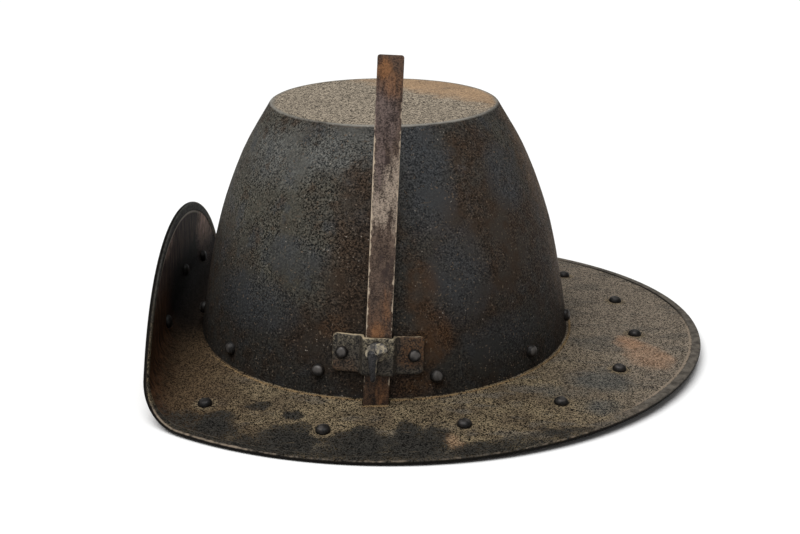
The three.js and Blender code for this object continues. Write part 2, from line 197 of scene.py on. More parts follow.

# Rivets: head radius, head height, grip, tail radius, tail height, how bright the head is rubbed and lit by a
# painted highlight
RIVET_COLUMNS = ("head", "rise", "grip", "tail", "drop", "rub_and_highlight")
CROWN_RIVET = dict(zip(RIVET_COLUMNS, (3.2, 2.6, 4.3, 2.4, 1.0, 0.9)))
BRIM_RIVET = dict(zip(RIVET_COLUMNS, (3.4, 2.4, 1.7, 2.4, 0.8, 0.35)))
BRACKET_RIVET = dict(zip(RIVET_COLUMNS, (3.0, 2.3, 4.1, 2.1, 1.0, 1.0)))
BRIM_RIVET_LIFT = 0.3  # of a head off the sheet
RIVET_FULLNESS = 0.6  # below 1, fuller than a half ball
RIVET_TAIL_EDGE = (0.8, 0.7)  # shares of the tail's radius and height inside its rounded edge
RIVET_WORN = (0.5, 1.0)  # shares of the head's height where the wear and painted highlight fade in
RIVET_LIT_SIDE = (-0.7, 0.6)  # height over the rivet's middle, as a share of the head's radius, where the painted highlight on the upper side fades in
RIVET_UNEVEN = 0.06
RIVET_UNEVEN_SIZE = 2.6
RIVET_SEEDS = {"crown": 0, "brim": 40, "bracket": 80}
# Degrees from the front towards +X, and height above the crown's foot
CROWN_RIVETS = [
    (-50.5, 8.5), (-18, 11), (15, 9), (48, 8.4), (79, 8), (112, 9),
    (145, 9), (178, 9), (211, 9), (244, 9), (276, 9),
]
# Degrees from the front towards +X, and share of the way to the edge
BRIM_RIVETS = [
    (-121, 0.58), (-98, 0.47), (-72.5, 0.42), (-37.5, 0.55), (-11, 0.56), (16, 0.51),
    (37.5, 0.53), (58.5, 0.53), (79, 0.51), (101.5, 0.50), (124, 0.45), (143, 0.50),
    (163, 0.52), (182, 0.51), (201, 0.53), (220, 0.52),
]

# Stains on the crown, where the pale rows are a painted sheen and the rim rows dust with a painted grazing
# sheen: degrees from the front, height, half spread in degrees and in height, strength
CROWN_STAINS = {
    "grey": [
        (-36, 74, 26, 36, 0.8), (-60, 92, 34, 34, 0.7), (-24, 106, 22, 9, 0.8), (62, 100, 12, 20, 0.4),
        (148, 82, 20, 30, 0.6), (-132, 70, 24, 34, 0.6),
    ],
    "warm": [
        (-8, 50, 9, 46, 0.9), (-20, 24, 10, 14, 0.7), (45, 66, 30, 34, 0.6), (30, 78, 12, 16, 0.7),
        (80, 46, 20, 60, 0.9), (40, 106, 14, 8, 0.7), (26, 36, 16, 14, 0.6), (122, 40, 20, 34, 0.7),
        (-160, 52, 14, 34, 0.7), (-96, 30, 20, 18, 0.6),
    ],
    "orange": [
        (14, 27, 6, 12, 0.55), (12, 48, 5, 14, 0.3), (6, 6, 10, 6, 0.45), (-14, 31, 4, 6, 0.4),
        (136, 24, 12, 12, 0.5),
    ],
    # Painted sheen high on the side
    "pale": [(-20, 106, 30, 10, 0.7), (-48, 100, 24, 13, 0.6), (168, 100, 8, 12, 0.5)],
    "blue": [
        (16, 98, 10, 26, 0.9), (24, 52, 9, 20, 0.8), (-44, 34, 16, 12, 0.9), (38, 20, 14, 10, 0.6),
        (-30, 60, 12, 8, 0.6), (52, 90, 9, 14, 0.7), (104, 86, 14, 18, 0.7), (168, 40, 8, 20, 0.7),
        (-118, 40, 14, 16, 0.7),
    ],
    # Dust with a painted grazing sheen along the right-hand side
    "rim": [(88, 84, 18, 34, 0.7), (96, 40, 24, 30, 0.7)],
}
# Places on the top edge with more wear and painted highlight: degrees from the front, height, half spreads,
# strength
BEVEL_WEAR_AND_SHINE = [(14, 0, 34, 1, 1.0), (-84, 0, 26, 1, 0.5)]
# Stains on the brim, in plan before the bend: x, y, half spread in x and in y, strength
BRIM_STAINS = {
    "black": [
        (-75, -128, 10, 11, 1.0), (-62, -146, 14, 7, 0.8), (-90, -122, 8, 8, 0.5), (-40, -141, 14, 11, 1.0),
        (-46, -150, 20, 6, 0.9), (-40, -121, 4, 3, 0.9), (-57, -112, 6, 3, 0.5), (-9, -149, 15, 12, 1.0),
        (-8, -138, 6, 7, 0.9), (15, -148, 12, 12, 1.0), (11, -137, 6, 8, 1.0), (22, -140, 7, 7, 0.7),
        (42, -152, 18, 7, 0.7), (84, -136, 14, 5, 0.4), (20, 138, 26, 9, 0.7), (-58, 124, 16, 12, 0.8),
    ],
    "blue": [(103, -85, 16, 13, 0.9), (100, -112, 9, 8, 0.7), (110, -38, 16, 12, 0.4), (84, -98, 20, 8, 0.5)],
    "rust": [
        (125, -38, 7, 10, 0.75), (132, -56, 11, 13, 0.55), (31, -144, 4, 6, 0.3), (60, 128, 16, 9, 0.6),
    ],
}
# Stains on the turned-up side: y, distance past the start of the bend, half spreads, strength
FLAP_STAINS = {
    "flap_red": [
        (-112, 24, 34, 60, 1.0), (-84, -4, 50, 16, 1.0), (30, 60, 70, 16, 0.9), (-62, 34, 44, 30, 0.9),
    ],
    "flap_pale": [(86, 44, 26, 24, 1.0), (-30, 62, 18, 7, 0.5)],
}
# Stains on the nasal bar: across, along, half spreads, strength
BAR_STAINS = {
    "orange": [
        (-2.5, 149, 3, 5, 1.0), (1, 142, 5, 6, 0.5), (0, 33, 5, 4, 0.6), (3, 44, 3, 8, 0.4),
        (2, 5, 3, 6, 0.5),
    ],
    "purple": [(-1, 128, 6, 16, 0.9), (-3, 106, 3, 12, 0.8)],
}

# Fades: place where each is 0, place where it is full, strength
CROWN_FADES = {
    # The foot fade darkens the side towards the brim: painted shade
    "foot": (80, 0, 0.5), "right": (2, 20, 0.3), "not_back": (120, 90, 1.0), "ochre": (14, 52, 1.0),
}
OCHRE_TOWARDS = np.array([0.85, 0.75])  # in x and y, on the flat top
BEVEL_LEAST = 0.55  # wear and painted highlight all round the top edge
BEVEL_MORE = 0.4  # further wear and painted highlight where the table has it
# Several fades place painted shade (before the bend, over the turned-up side's inside, in the nook by the
# crown) and painted highlights (along the roll, on the slot's front edge)
BRIM_FADES = {
    # In x
    "right": (88, 132, 1.0), "left": (-20, -70, 0.4), "dirt_left": (90, 50, 1.0), "pale": (30, 120, 1.0),
    # In y
    "back": (-30, 30, 1.0), "dirt_front": (40, -40, 1.0), "nook_shade_back": (-50, -8, 0.85),
    "slot": (1.1, 0.2, 1.0),
    # Past the start of the bend
    "on_flap": (8, 20, 1.0), "bend_shade": (-46, -2, 0.95), "flap": (0, 24, 1.0), "flap_top": (36, 60, 1.0),
    "rim": (30, 60, 0.9), "glint": (46, 64, 1.0), "nook_shade_from": (-34, -6, 1.0), "nook_shade_to": (46, 24, 1.0),
    "lip": (-2, -30, 1.0),
    # Inwards from the roll's inner border, or from the painted highlight line beside it
    "groove": (0.9, 0.3, 0.95), "hem_line": (0.8, 0.2, 0.9), "dirt": (11, 2, 0.45),
    "roll_outside": (-2.0, -3.2, 1.0),
    # Out from the crown, in from the edge, and out from a rivet
    "wave_from": (6, 20, 1.0), "wave_to": (2, 14, 1.0), "halo": (7.0, 3.4, 0.6),
    # In lift on the roll
    "roll_low": (1.7, 1.1, 1.0), "roll_from": (1.2, 1.5, 1.0), "roll_to": (2.06, 1.9, 1.0),
}
HEM_LINE_IN = 0.8  # from the roll to the painted highlight line beside it
ROLL_LEAST = 0.25  # wear and painted highlight all along the roll's front
PALE_SLANT = 0.3
BAR_FADES = {
    "edge": (0.9, 0.1, 1.0), "front": (-1.0, -2.2, 1.0), "edge_from": (2, 16, 1.0),
    "edge_to": (148, 108, 1.0),
    "rust_high": (112, 140, 0.8), "rust_low": (62, 34, 0.8), "pale_from": (70, 92, 1.0),
    "pale_to": (118, 100, 1.0), "low": (18, 11, 1.0),
}
# Painted highlight on the worn front edges, stronger on the left-hand edge
BAR_LEFT_SHINE = 0.85
BAR_RIGHT_SHINE = 0.6
BRACKET_FADES = {
    # Across
    "right_wing": (0, 10, 0.5), "rust_right": (7, 12, 0.8), "rust_left": (-6, -12, 0.45),
    "bridge": (8.5, 6.0, 0.7), "bare_left": (-9, -12, 0.2), "end": (0.6, 0.0, 0.4),
    # In height
    "rust_up": (13, 19, 1.0), "rust_down": (22, 13, 1.0), "bridge_up": (19, 26, 1.0),
    "bare_up": (21, 25, 1.0),
}
# How bright the rows at the front's lower and upper edge and the top row behind are rubbed and lit by a
# painted highlight, upwards
BRACKET_LOWER_SHINE = [0.2, 0.1, 0.0]
BRACKET_UPPER_SHINE = [0.0, 0.35, 0.8]
BRACKET_BEHIND_SHINE = 0.2

# Camera, in the hat's frame
CAMERA_PLACE = (8.02, -641.25, 245.70)
CAMERA_PITCH = math.radians(18.108)
IMAGE_WIDTH_PX = 800
FOCAL_LENGTH_PX = 1268.8

# Floor and light
FLOOR_Z = -0.05  # just under the hat, so the two never share a face
FLOOR_HALF = 60.0  # in metres
WORLD_STRENGTH = 0.22
KEY_TOWARDS = (0.24, 0.24, -1.0)
KEY_SOFTNESS = math.radians(55)
KEY_STRENGTH = 3.1


def smoothstep(low, high, value):
    """From 0 at low to 1 at high."""
    share = np.clip((value - low) / (high - low), 0, 1)
    return share * share * (3 - 2 * share)


def fade(row, value):
    """From 0 at a row's first place to its strength at its second."""
    start, full, strength = row
    return strength * smoothstep(start, full, value)


def xyz(x, y, z):
    """Points from their three coordinates."""
    return np.stack(np.broadcast_arrays(x, y, z), -1)


def to_row(points):
    """Points of the hat's frame in millimetres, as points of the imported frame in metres."""
    shift = np.array([CROWN_AXIS[0], CROWN_AXIS[1], CROWN_LOW[2] - FOOT_Z])
    return (points + shift) * MM


def uneven(points, size, octaves=3, seed=0.0):
    """A smooth uneven field of about -1 to 1, with bumps of about the given size."""
    flat = points.reshape(-1, 3) / size + seed
    values = [noise.fractal(Vector(point), 0.9, 2.0, octaves) for point in flat]
    return np.array(values).reshape(points.shape[:-1])


def bumps(points, size, octaves=3, seed=0.0):
    """An uneven field of about 0 to 1."""
    return 0.5 + 0.5 * uneven(points, size, octaves, seed)


def rounding(radius, from_end):
    """How far a rounded end draws in, at a distance from that end."""
    return radius - np.sqrt(np.maximum(0, radius**2 - np.maximum(0, radius - from_end) ** 2))


def stains(u, v, table):
    """How strongly the soft oval stains of a table cover each place."""
    cover = np.zeros(np.broadcast(u, v).shape)
    for middle_u, middle_v, half_u, half_v, strength in table:
        distance = np.hypot((u - middle_u) / half_u, (v - middle_v) / half_v)
        cover = np.maximum(cover, strength * smoothstep(1.5, 0.4, distance))
    return cover


# Shapes that the pieces lie on

def crown_half_width(height):
    """Half width of the crown's outside, on a smooth curve through the given ones."""
    last = len(CROWN_HALF_WIDTHS) - 1
    place = np.clip(np.asarray(height) / CROWN_HEIGHT, 0, 1) * last
    i = np.minimum(place.astype(int), last - 1)
    t = place - i
    slopes = np.gradient(CROWN_HALF_WIDTHS)
    rise = 3 * t**2 - 2 * t**3
    ends = CROWN_HALF_WIDTHS[i] * (1 - rise) + CROWN_HALF_WIDTHS[i + 1] * rise
    return ends + slopes[i] * (t**3 - 2 * t**2 + t) + slopes[i + 1] * (t**3 - t**2)


def crown_points(angle, height, inset):
    """Points of the crown, inset from its outside."""
    half = crown_half_width(height) - inset
    return xyz(half * np.sin(angle), -half * DEPTH_RATIO * np.cos(angle), FOOT_Z + np.asarray(height))


def brim_plan(angle, share):
    """A place of the flat brim, from the crown's foot at share 0 to the edge at share 1."""
    full = 1 + BRIM_SKEW * np.sin(2 * angle)
    foot_half = CROWN_HALF_WIDTHS[0]
    x = (foot_half + (BRIM_HALF_WIDTH * full - foot_half) * share) * np.sin(angle)
    foot_depth = foot_half * DEPTH_RATIO
    y = -(foot_depth + (BRIM_HALF_DEPTH * full - foot_depth) * share) * np.cos(angle)
    return x, y


def brim_width(angle):
    """From the crown's foot to the edge, in plan."""
    foot_x, foot_y = brim_plan(angle, 0)
    edge_x, edge_y = brim_plan(angle, 1)
    return np.hypot(edge_x - foot_x, edge_y - foot_y)


def fold_start(y):
    """How far to the left the bend starts."""
    return FOLD_OFFSET - FOLD_BOW * (y / FOLD_BOW_REACH) ** 2


def brim_points(angle, out, lift):
    """Out from the crown's foot and lifted off the sheet's underside, with one side bent up."""
    width = brim_width(angle)
    x, y = brim_plan(angle, out / width)
    fall = BRIM_DROOP + BRIM_SADDLE * np.cos(2 * (angle + BRIM_SADDLE_TURN))
    z = UNDERSIDE_Z - fall * np.minimum(1, out / (width - HEM_WIDTH))
    start = fold_start(y)
    beyond = np.maximum(0, -x - start)
    full_turn = FOLD_ANGLE + FOLD_TWIST * y
    turn = np.minimum(beyond / FOLD_RADIUS, full_turn)
    straight = np.maximum(0, beyond - FOLD_RADIUS * full_turn)
    bent = beyond > 0
    reach = (FOLD_RADIUS - lift) * np.sin(turn) + straight * np.cos(turn)
    climb = FOLD_RADIUS - (FOLD_RADIUS - lift) * np.cos(turn) + straight * np.sin(turn)
    return xyz(np.where(bent, -start - reach, x), y, z + np.where(bent, climb, lift))


NASAL_FRAME = Matrix.Translation(
    (NASAL_ASIDE, -CROWN_HALF_WIDTHS[0] * DEPTH_RATIO - NASAL_CLEAR, FOOT_Z)
) @ (Euler((-NASAL_LEAN, 0, 0)).to_matrix() @ Euler((0, NASAL_ROLL, 0)).to_matrix()).to_4x4()


def from_nasal(points):
    """Points of the bar's frame, as points of the hat's frame."""
    turn = np.array(NASAL_FRAME.to_3x3())
    return points @ turn.T + np.array(NASAL_FRAME.translation)


def crown_depth(across, height):
    """How far behind the bar's back plane the crown's outside lies, found by halving."""
    near = np.full(np.shape(across), -10.0)
    far = np.full(np.shape(across), 40.0)
    for _ in range(30):
        middle = (near + far) / 2
        point = from_nasal(xyz(across, middle, height))
        reach = np.hypot(point[..., 0], point[..., 1] / DEPTH_RATIO)
        inside = reach < crown_half_width(point[..., 2] - FOOT_Z)
        far = np.where(inside, middle, far)
        near = np.where(inside, near, middle)
    return near


# Meshes

def grid_faces(rows, columns, wrap_rows, wrap_columns):
    """Four-sided faces between neighbouring points of a grid."""
    row = np.arange(rows if wrap_rows else rows - 1)[:, None]
    column = np.arange(columns if wrap_columns else columns - 1)[None, :]
    next_row = (row + 1) % rows
    next_column = (column + 1) % columns
    corners = [
        row * columns + column, next_row * columns + column,
        next_row * columns + next_column, row * columns + next_column,
    ]
    return np.stack(np.broadcast_arrays(*corners), -1).reshape(-1, 4).tolist()


def clean(mesh):
    """Joins points that fall together, and turns all faces outwards."""
    shell = bmesh.new()
    shell.from_mesh(mesh)
    bmesh.ops.remove_doubles(shell, verts=shell.verts, dist=SAME_PLACE * MM)
    bmesh.ops.recalc_face_normals(shell, faces=shell.faces)
    shell.to_mesh(mesh)
    shell.free()


def add_piece(node, body, material, points, faces, masks, sharp):
    """A piece that stands for a node of the frame, from points in the hat's frame."""
    mesh = bpy.data.meshes.new(node + "_iron")
    mesh.from_pydata(to_row(points.reshape(-1, 3)).tolist(), [], faces)
    for name, values in masks.items():
        attribute = mesh.attributes.new(name, "FLOAT", "POINT")
        attribute.data.foreach_set("value", np.ravel(values).astype(np.float32))
    clean(mesh)
    mesh.shade_smooth()
    mesh.set_sharp_from_angle(angle=math.radians(sharp))
    mesh.materials.append(material)
    piece = bpy.data.objects.new(mesh.name, mesh)
    bpy.context.collection.objects.link(piece)
    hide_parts(node)
    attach(piece, body)
    return piece


def loft_faces(rows, columns):
    """Faces of a row of closed loops, with both end loops filled."""
    ends = [list(range(columns)), list(range((rows - 1) * columns, rows * columns))]
    return grid_faces(rows, columns, False, True) + ends


# Materials

def srgb(red, green, blue):
    """A colour given in display values of 0 to 255, as the shader's linear colour."""
    linear = []
    for value in (red, green, blue):
        share = value / 255
        linear.append(((share + 0.055) / 1.055) ** 2.4 if value > 10 else share / 12.92)
    return (*linear, 1.0)


class Shader:
    """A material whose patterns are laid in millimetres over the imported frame."""

    def __init__(self, name):
        self.material = bpy.data.materials.new(name)
        self.material.use_nodes = True
        self.nodes = self.material.node_tree.nodes
        self.links = self.material.node_tree.links
        self.surface = self.nodes["Principled BSDF"]
        self.place = self.nodes.new("ShaderNodeTexCoord").outputs["Object"]
        self.colour = None

    def feed(self, socket, value):
        """Links a socket to another, or sets it to a constant."""
        if isinstance(value, bpy.types.NodeSocket):
            self.links.new(value, socket)
        else:
            socket.default_value = value

    def noise(self, size, detail=3.0, rough=0.6, stretch=(1, 1, 1)):
        """Cloudy noise of about 0.3 to 0.7 whose features are about size millimetres."""
        mapping = self.nodes.new("ShaderNodeMapping")
        mapping.inputs["Scale"].default_value = [1 / (size * MM * along) for along in stretch]
        self.links.new(self.place, mapping.inputs["Vector"])
        cloud = self.nodes.new("ShaderNodeTexNoise")
        self.links.new(mapping.outputs[0], cloud.inputs["Vector"])
        cloud.inputs["Scale"].default_value = 1.0
        cloud.inputs["Detail"].default_value = detail
        cloud.inputs["Roughness"].default_value = rough
        return cloud.outputs[0]

    def speckle(self, size):
        """Grains of random tone about size millimetres across over a softer mottle, about 0 to 1."""
        grains = self.nodes.new("ShaderNodeTexVoronoi")
        self.links.new(self.place, grains.inputs["Vector"])
        grains.inputs["Scale"].default_value = 1 / (size * MM)
        tone = self.nodes.new("ShaderNodeSeparateColor")
        self.links.new(grains.outputs["Color"], tone.inputs[0])
        mottle = self.math("MULTIPLY", self.math("SUBTRACT", self.noise(3.0 * size, 2), 0.4), 0.7)
        grained = self.math("MULTIPLY", tone.outputs[0], 0.85)
        return self.span(self.math("ADD", grained, mottle), 0.10, 0.90)

    def average(self, first, second):
        """The middle of two values."""
        return self.math("MULTIPLY", self.math("ADD", first, second), 0.5)

    def strengthen(self, value, amount):
        """A value of 0 to 1 whose distance from 0.5 is multiplied by an amount."""
        return self.math("ADD", self.math("MULTIPLY", self.math("SUBTRACT", value, 0.5), amount), 0.5)

    def mask(self, name):
        """A mask that the mesh carries, of 0 to 1."""
        attribute = self.nodes.new("ShaderNodeAttribute")
        attribute.attribute_name = name
        return attribute.outputs["Fac"]

    def span(self, value, low, high, start=0.0, end=1.0):
        """Value between low and high, eased into start to end."""
        node = self.nodes.new("ShaderNodeMapRange")
        node.interpolation_type = "SMOOTHSTEP"
        self.feed(node.inputs["Value"], value)
        for name, number in (("From Min", low), ("From Max", high), ("To Min", start), ("To Max", end)):
            node.inputs[name].default_value = number
        return node.outputs[0]

    def math(self, operation, first, second):
        """One step of reckoning with two values."""
        node = self.nodes.new("ShaderNodeMath")
        node.operation = operation
        self.feed(node.inputs[0], first)
        self.feed(node.inputs[1], second)
        return node.outputs[0]

    def ragged(self, mask, pattern, reach=0.9, soft=0.16):
        """A mask whose border is broken up by a pattern."""
        cover = self.mask(mask)
        shifted = self.math("MULTIPLY", self.math("SUBTRACT", pattern, 0.5), reach * 2)
        broken = self.span(self.math("ADD", cover, shifted), 0.5 - soft, 0.5 + soft)
        return self.math("MULTIPLY", broken, self.span(cover, 0.0, 0.25))

    def mix(self, amount, first, second):
        """From the first colour at amount 0 to the second at amount 1."""
        node = self.nodes.new("ShaderNodeMix")
        node.data_type = "RGBA"
        self.feed(node.inputs["Factor"], amount)
        self.feed(node.inputs[6], first)
        self.feed(node.inputs[7], second)
        return node.outputs[2]

    def tones(self, pattern, dark, light):
        """A colour that goes from dark to light with a pattern, both in display values."""
        return self.mix(pattern, srgb(*dark), srgb(*light))

    def paint(self, cover, colour):
        """Lays a colour over what is there, as far as a cover of 0 to 1 says."""
        self.colour = self.mix(cover, self.colour, colour)

    def finish(self, roughness, height, depth, metallic=0.0, specular=0.35):
        """Sets the surface, with a bump of the given depth in millimetres."""
        self.feed(self.surface.inputs["Base Color"], self.colour)
        self.feed(self.surface.inputs["Roughness"], roughness)
        self.surface.inputs["Metallic"].default_value = metallic
        self.surface.inputs["Specular IOR Level"].default_value = specular
        bump = self.nodes.new("ShaderNodeBump")
        bump.inputs["Distance"].default_value = depth * MM
        bump.inputs["Strength"].default_value = 1.0
        self.feed(bump.inputs["Height"], height)
        self.links.new(bump.outputs[0], self.surface.inputs["Normal"])
        return self.material


def crown_material():
    """Dark pitted iron, browner to one side, with a dusty flat top, a scuffed top edge with a painted
    highlight along it, a painted sheen high on the side, dust with a painted grazing sheen on the right, and
    painted shade towards the foot.
    """
    iron = Shader("crown_iron")
    grain = iron.speckle(0.5)
    wrinkles = iron.span(iron.noise(0.9, 2.0, 0.55), 0.38, 0.64)
    relief = iron.span(iron.noise(20, 3), 0.36, 0.54, 0.5, 1.7)
    relief = iron.math("SUBTRACT", relief, iron.mask("smooth"))
    coarse = iron.strengthen(iron.average(grain, wrinkles), relief)
    clouds = iron.noise(18, 4)
    spots = iron.noise(8, 4, 0.65)
    dark = iron.tones(coarse, (34, 33, 31), (75, 72, 67))
    grey = iron.tones(coarse, (8, 8, 7), (97, 94, 84))
    warm = iron.tones(coarse, (27, 21, 16), (76, 61, 49))
    pale = iron.tones(coarse, (48, 49, 49), (110, 110, 106))
    blue = iron.tones(coarse, (37, 39, 41), (76, 78, 80))
    orange = iron.tones(coarse, (34, 22, 13), (96, 68, 44))
    dust_and_rim_sheen = iron.tones(coarse, (42, 34, 27), (122, 101, 80))
    iron.colour = dark
    iron.paint(iron.span(spots, 0.44, 0.62, 0.0, 0.6), warm)
    iron.paint(iron.ragged("grey", clouds, 0.9, 0.6), grey)
    # Painted sheen high on the side
    iron.paint(iron.ragged("pale", clouds, 0.9, 0.6), pale)
    iron.paint(iron.span(iron.noise(13, 4), 0.53, 0.64, 0.0, 0.55), blue)
    iron.paint(iron.span(iron.noise(10, 4, 0.65), 0.56, 0.68, 0.0, 0.6), warm)
    iron.paint(iron.ragged("warm", spots, 0.9, 0.9), warm)
    iron.paint(iron.ragged("blue", spots, 0.9, 0.9), blue)
    # Painted shade, darker towards the foot
    iron.paint(iron.mask("foot"), srgb(19, 17, 15))
    iron.paint(iron.ragged("orange", spots, 0.6, 0.9), orange)
    # Dust with a painted grazing sheen on the right
    iron.paint(iron.ragged("rim", spots, 1.2, 0.7), dust_and_rim_sheen)
    specks = iron.span(iron.noise(1.1, 1.0, 0.4), 0.67, 0.75, 0.0, 0.8)
    iron.paint(specks, srgb(104, 90, 76))
    flecks = iron.span(iron.noise(0.9, 1.0, 0.4), 0.76, 0.80)
    iron.paint(flecks, srgb(150, 142, 132))
    scratches = iron.span(iron.noise(1.1, 2.0, 0.5, stretch=(9, 9, 1)), 0.66, 0.76, 0.0, 0.6)
    iron.paint(scratches, srgb(84, 75, 65))
    dust = iron.tones(grain, (38, 34, 30), (186, 172, 152))
    ochre = iron.tones(iron.average(grain, clouds), (88, 73, 59), (202, 169, 134))
    dust = iron.mix(iron.ragged("ochre", clouds, 0.9, 0.5), dust, ochre)
    iron.paint(iron.mask("top"), dust)
    # Scuffed top edge with a painted highlight
    worn_and_lit = iron.ragged("edge", iron.noise(12, 4), 0.5, 0.5)
    iron.paint(worn_and_lit, srgb(146, 142, 134))
    roughness = iron.span(wrinkles, 0.0, 1.0, 0.75, 0.55)
    return iron.finish(roughness, coarse, 0.16, specular=0.06)


def brim_material():
    """Sandy brown speckled iron with black, blue and rusty stains; the turned-up side's inside, the sheet at
    the bend and the nook by the crown are darkened as painted shade, and the roll carries painted highlights.
    """
    iron = Shader("brim_iron")
    grain = iron.strengthen(iron.speckle(0.42), 1.35)
    clouds = iron.noise(14, 5, 0.65)
    breaks = iron.average(iron.noise(6, 5, 0.65), iron.span(grain, 0.0, 1.0, 0.25, 0.75))
    sand = iron.tones(grain, (8, 7, 5), (136, 121, 96))
    grey = iron.tones(grain, (46, 42, 37), (140, 128, 113))
    brown = iron.tones(grain, (18, 15, 12), (98, 85, 68))
    iron.colour = sand
    iron.paint(iron.span(clouds, 0.38, 0.60, 0.85, 0.0), brown)
    iron.paint(iron.mask("pale"), grey)
    dull = iron.tones(grain, (26, 25, 24), (108, 102, 93))
    drift = iron.noise(10, 4, 0.6, stretch=(2.2, 1, 1))
    iron.paint(iron.span(drift, 0.50, 0.62, 0.0, 0.6), dull)
    blue = iron.tones(grain, (30, 32, 33), (100, 97, 90))
    iron.paint(iron.ragged("blue", clouds, 1.0, 0.6), blue)
    rust = iron.tones(grain, (106, 82, 63), (176, 138, 109))
    iron.paint(iron.ragged("rust", clouds, 0.5, 0.9), rust)
    # Painted shade over the sheet before and at the bend
    bend_shade = iron.tones(grain, (24, 18, 12), (90, 73, 54))
    iron.paint(iron.mask("bend_shade"), bend_shade)
    black = iron.tones(grain, (6, 6, 6), (56, 54, 50))
    rubs = iron.span(iron.noise(1.1, 3, 0.6, stretch=(6, 1, 1)), 0.58, 0.72, 0.0, 0.6)
    black = iron.mix(rubs, black, srgb(90, 80, 66))
    iron.paint(iron.ragged("black", breaks, 1.5, 0.2), black)
    iron.paint(iron.ragged("halo", grain, 0.5, 0.6), srgb(122, 108, 86))
    under = iron.tones(grain, (26, 22, 18), (84, 69, 55))
    sooty = iron.tones(grain, (22, 20, 19), (56, 52, 48))
    under = iron.mix(iron.span(clouds, 0.46, 0.62, 0.0, 0.8), under, sooty)
    rusty = iron.tones(grain, (48, 31, 20), (104, 74, 50))
    under = iron.mix(iron.span(breaks, 0.54, 0.66, 0.0, 0.8), under, rusty)
    iron.paint(iron.mask("under"), under)
    streaks = iron.noise(2.2, 4, 0.65, stretch=(1, 1, 7))
    # Painted shade darkens the turned-up side's inside; its red, purple and scratched stains go over that
    flap = iron.tones(iron.span(streaks, 0.42, 0.70), (11, 8, 6), (34, 24, 18))
    red = iron.tones(iron.span(streaks, 0.36, 0.66), (36, 23, 15), (92, 64, 45))
    fine_streaks = iron.noise(0.9, 3, 0.6, stretch=(1, 1, 6))
    scratched = iron.tones(iron.span(fine_streaks, 0.36, 0.62), (88, 70, 63), (236, 200, 182))
    flap = iron.mix(iron.ragged("flap_red", clouds, 0.8, 0.6), flap, red)
    purple = iron.tones(iron.span(streaks, 0.36, 0.66), (46, 38, 35), (118, 100, 92))
    flap = iron.mix(iron.mask("flap_top"), flap, purple)
    flap = iron.mix(iron.ragged("flap_pale", breaks, 0.8, 0.6), flap, scratched)
    iron.paint(iron.mask("flap"), flap)
    # Painted shade, near black, in the nook between the crown and the turned-up side
    iron.paint(iron.mask("nook_shade"), srgb(14, 10, 9))
    scratches = iron.noise(1.0, 3, 0.6, stretch=(4, 4, 1))
    hem = iron.tones(iron.span(scratches, 0.30, 0.70), (66, 62, 57), (104, 98, 90))
    iron.paint(iron.mask("hem"), hem)
    rim = iron.tones(iron.span(scratches, 0.30, 0.70), (52, 51, 50), (96, 95, 92))
    iron.paint(iron.mask("rim"), rim)
    iron.paint(iron.mask("shade"), srgb(16, 14, 12))
    # Wear and painted highlight along the roll's top and beside its inner border
    roll_highlight = iron.ragged("roll_highlight", iron.noise(3.5, 4), 1.1, 0.45)
    iron.paint(roll_highlight, srgb(132, 119, 104))
    iron.paint(iron.mask("glint"), srgb(226, 214, 196))
    # Dust on the ridge at the crown's foot, and a painted highlight on the slot's front edge
    lip = iron.ragged("lip", grain, 0.35, 0.4)
    iron.paint(lip, srgb(128, 106, 76))
    roughness = iron.span(grain, 0.0, 1.0, 0.82, 0.62)
    return iron.finish(roughness, grain, 0.07, specular=0.06)


def bar_material():
    """Brown rusted bar with scuffed edges carrying a painted highlight, brighter on the left, paler bare
    stretches, and painted shade with dirt low down.
    """
    iron = Shader("bar_iron")
    streaks = iron.noise(3.0, 4, 0.65, stretch=(1, 1, 5))
    grain = iron.average(iron.speckle(0.5), iron.span(streaks, 0.30, 0.70))
    grain = iron.strengthen(grain, 1.6)
    brown = iron.tones(grain, (50, 38, 31), (104, 86, 74))
    rust = iron.tones(grain, (46, 33, 25), (98, 74, 58))
    pale = iron.tones(grain, (60, 50, 43), (164, 148, 132))
    iron.colour = brown
    iron.paint(iron.ragged("rust", streaks, 1.1, 0.5), rust)
    iron.paint(iron.ragged("pale", streaks, 1.1, 0.4), pale)
    dark = iron.span(iron.noise(7, 4, 0.6, stretch=(1, 1, 2.5)), 0.52, 0.66)
    iron.paint(dark, srgb(54, 42, 38))
    # Darker low on the bar, below the bracket: painted shade with dirt
    low = iron.tones(grain, (30, 21, 15), (82, 60, 44))
    iron.paint(iron.mask("low"), low)
    purple = iron.tones(grain, (46, 36, 34), (112, 96, 90))
    iron.paint(iron.ragged("purple", streaks, 1.0, 0.5), purple)
    orange = iron.tones(grain, (86, 56, 34), (138, 96, 62))
    iron.paint(iron.ragged("orange", streaks, 0.9, 0.6), orange)
    # Scuffed front edges with a painted highlight, brighter on the left
    worn_and_lit = iron.ragged("edge", iron.noise(3.2, 4), 1.5, 0.25)
    iron.paint(worn_and_lit, srgb(190, 172, 150))
    pits = iron.noise(1.2, 3, 0.65)
    roughness = iron.span(pits, 0.35, 0.65, 0.5, 0.75)
    return iron.finish(roughness, pits, 0.2, metallic=0.15, specular=0.3)


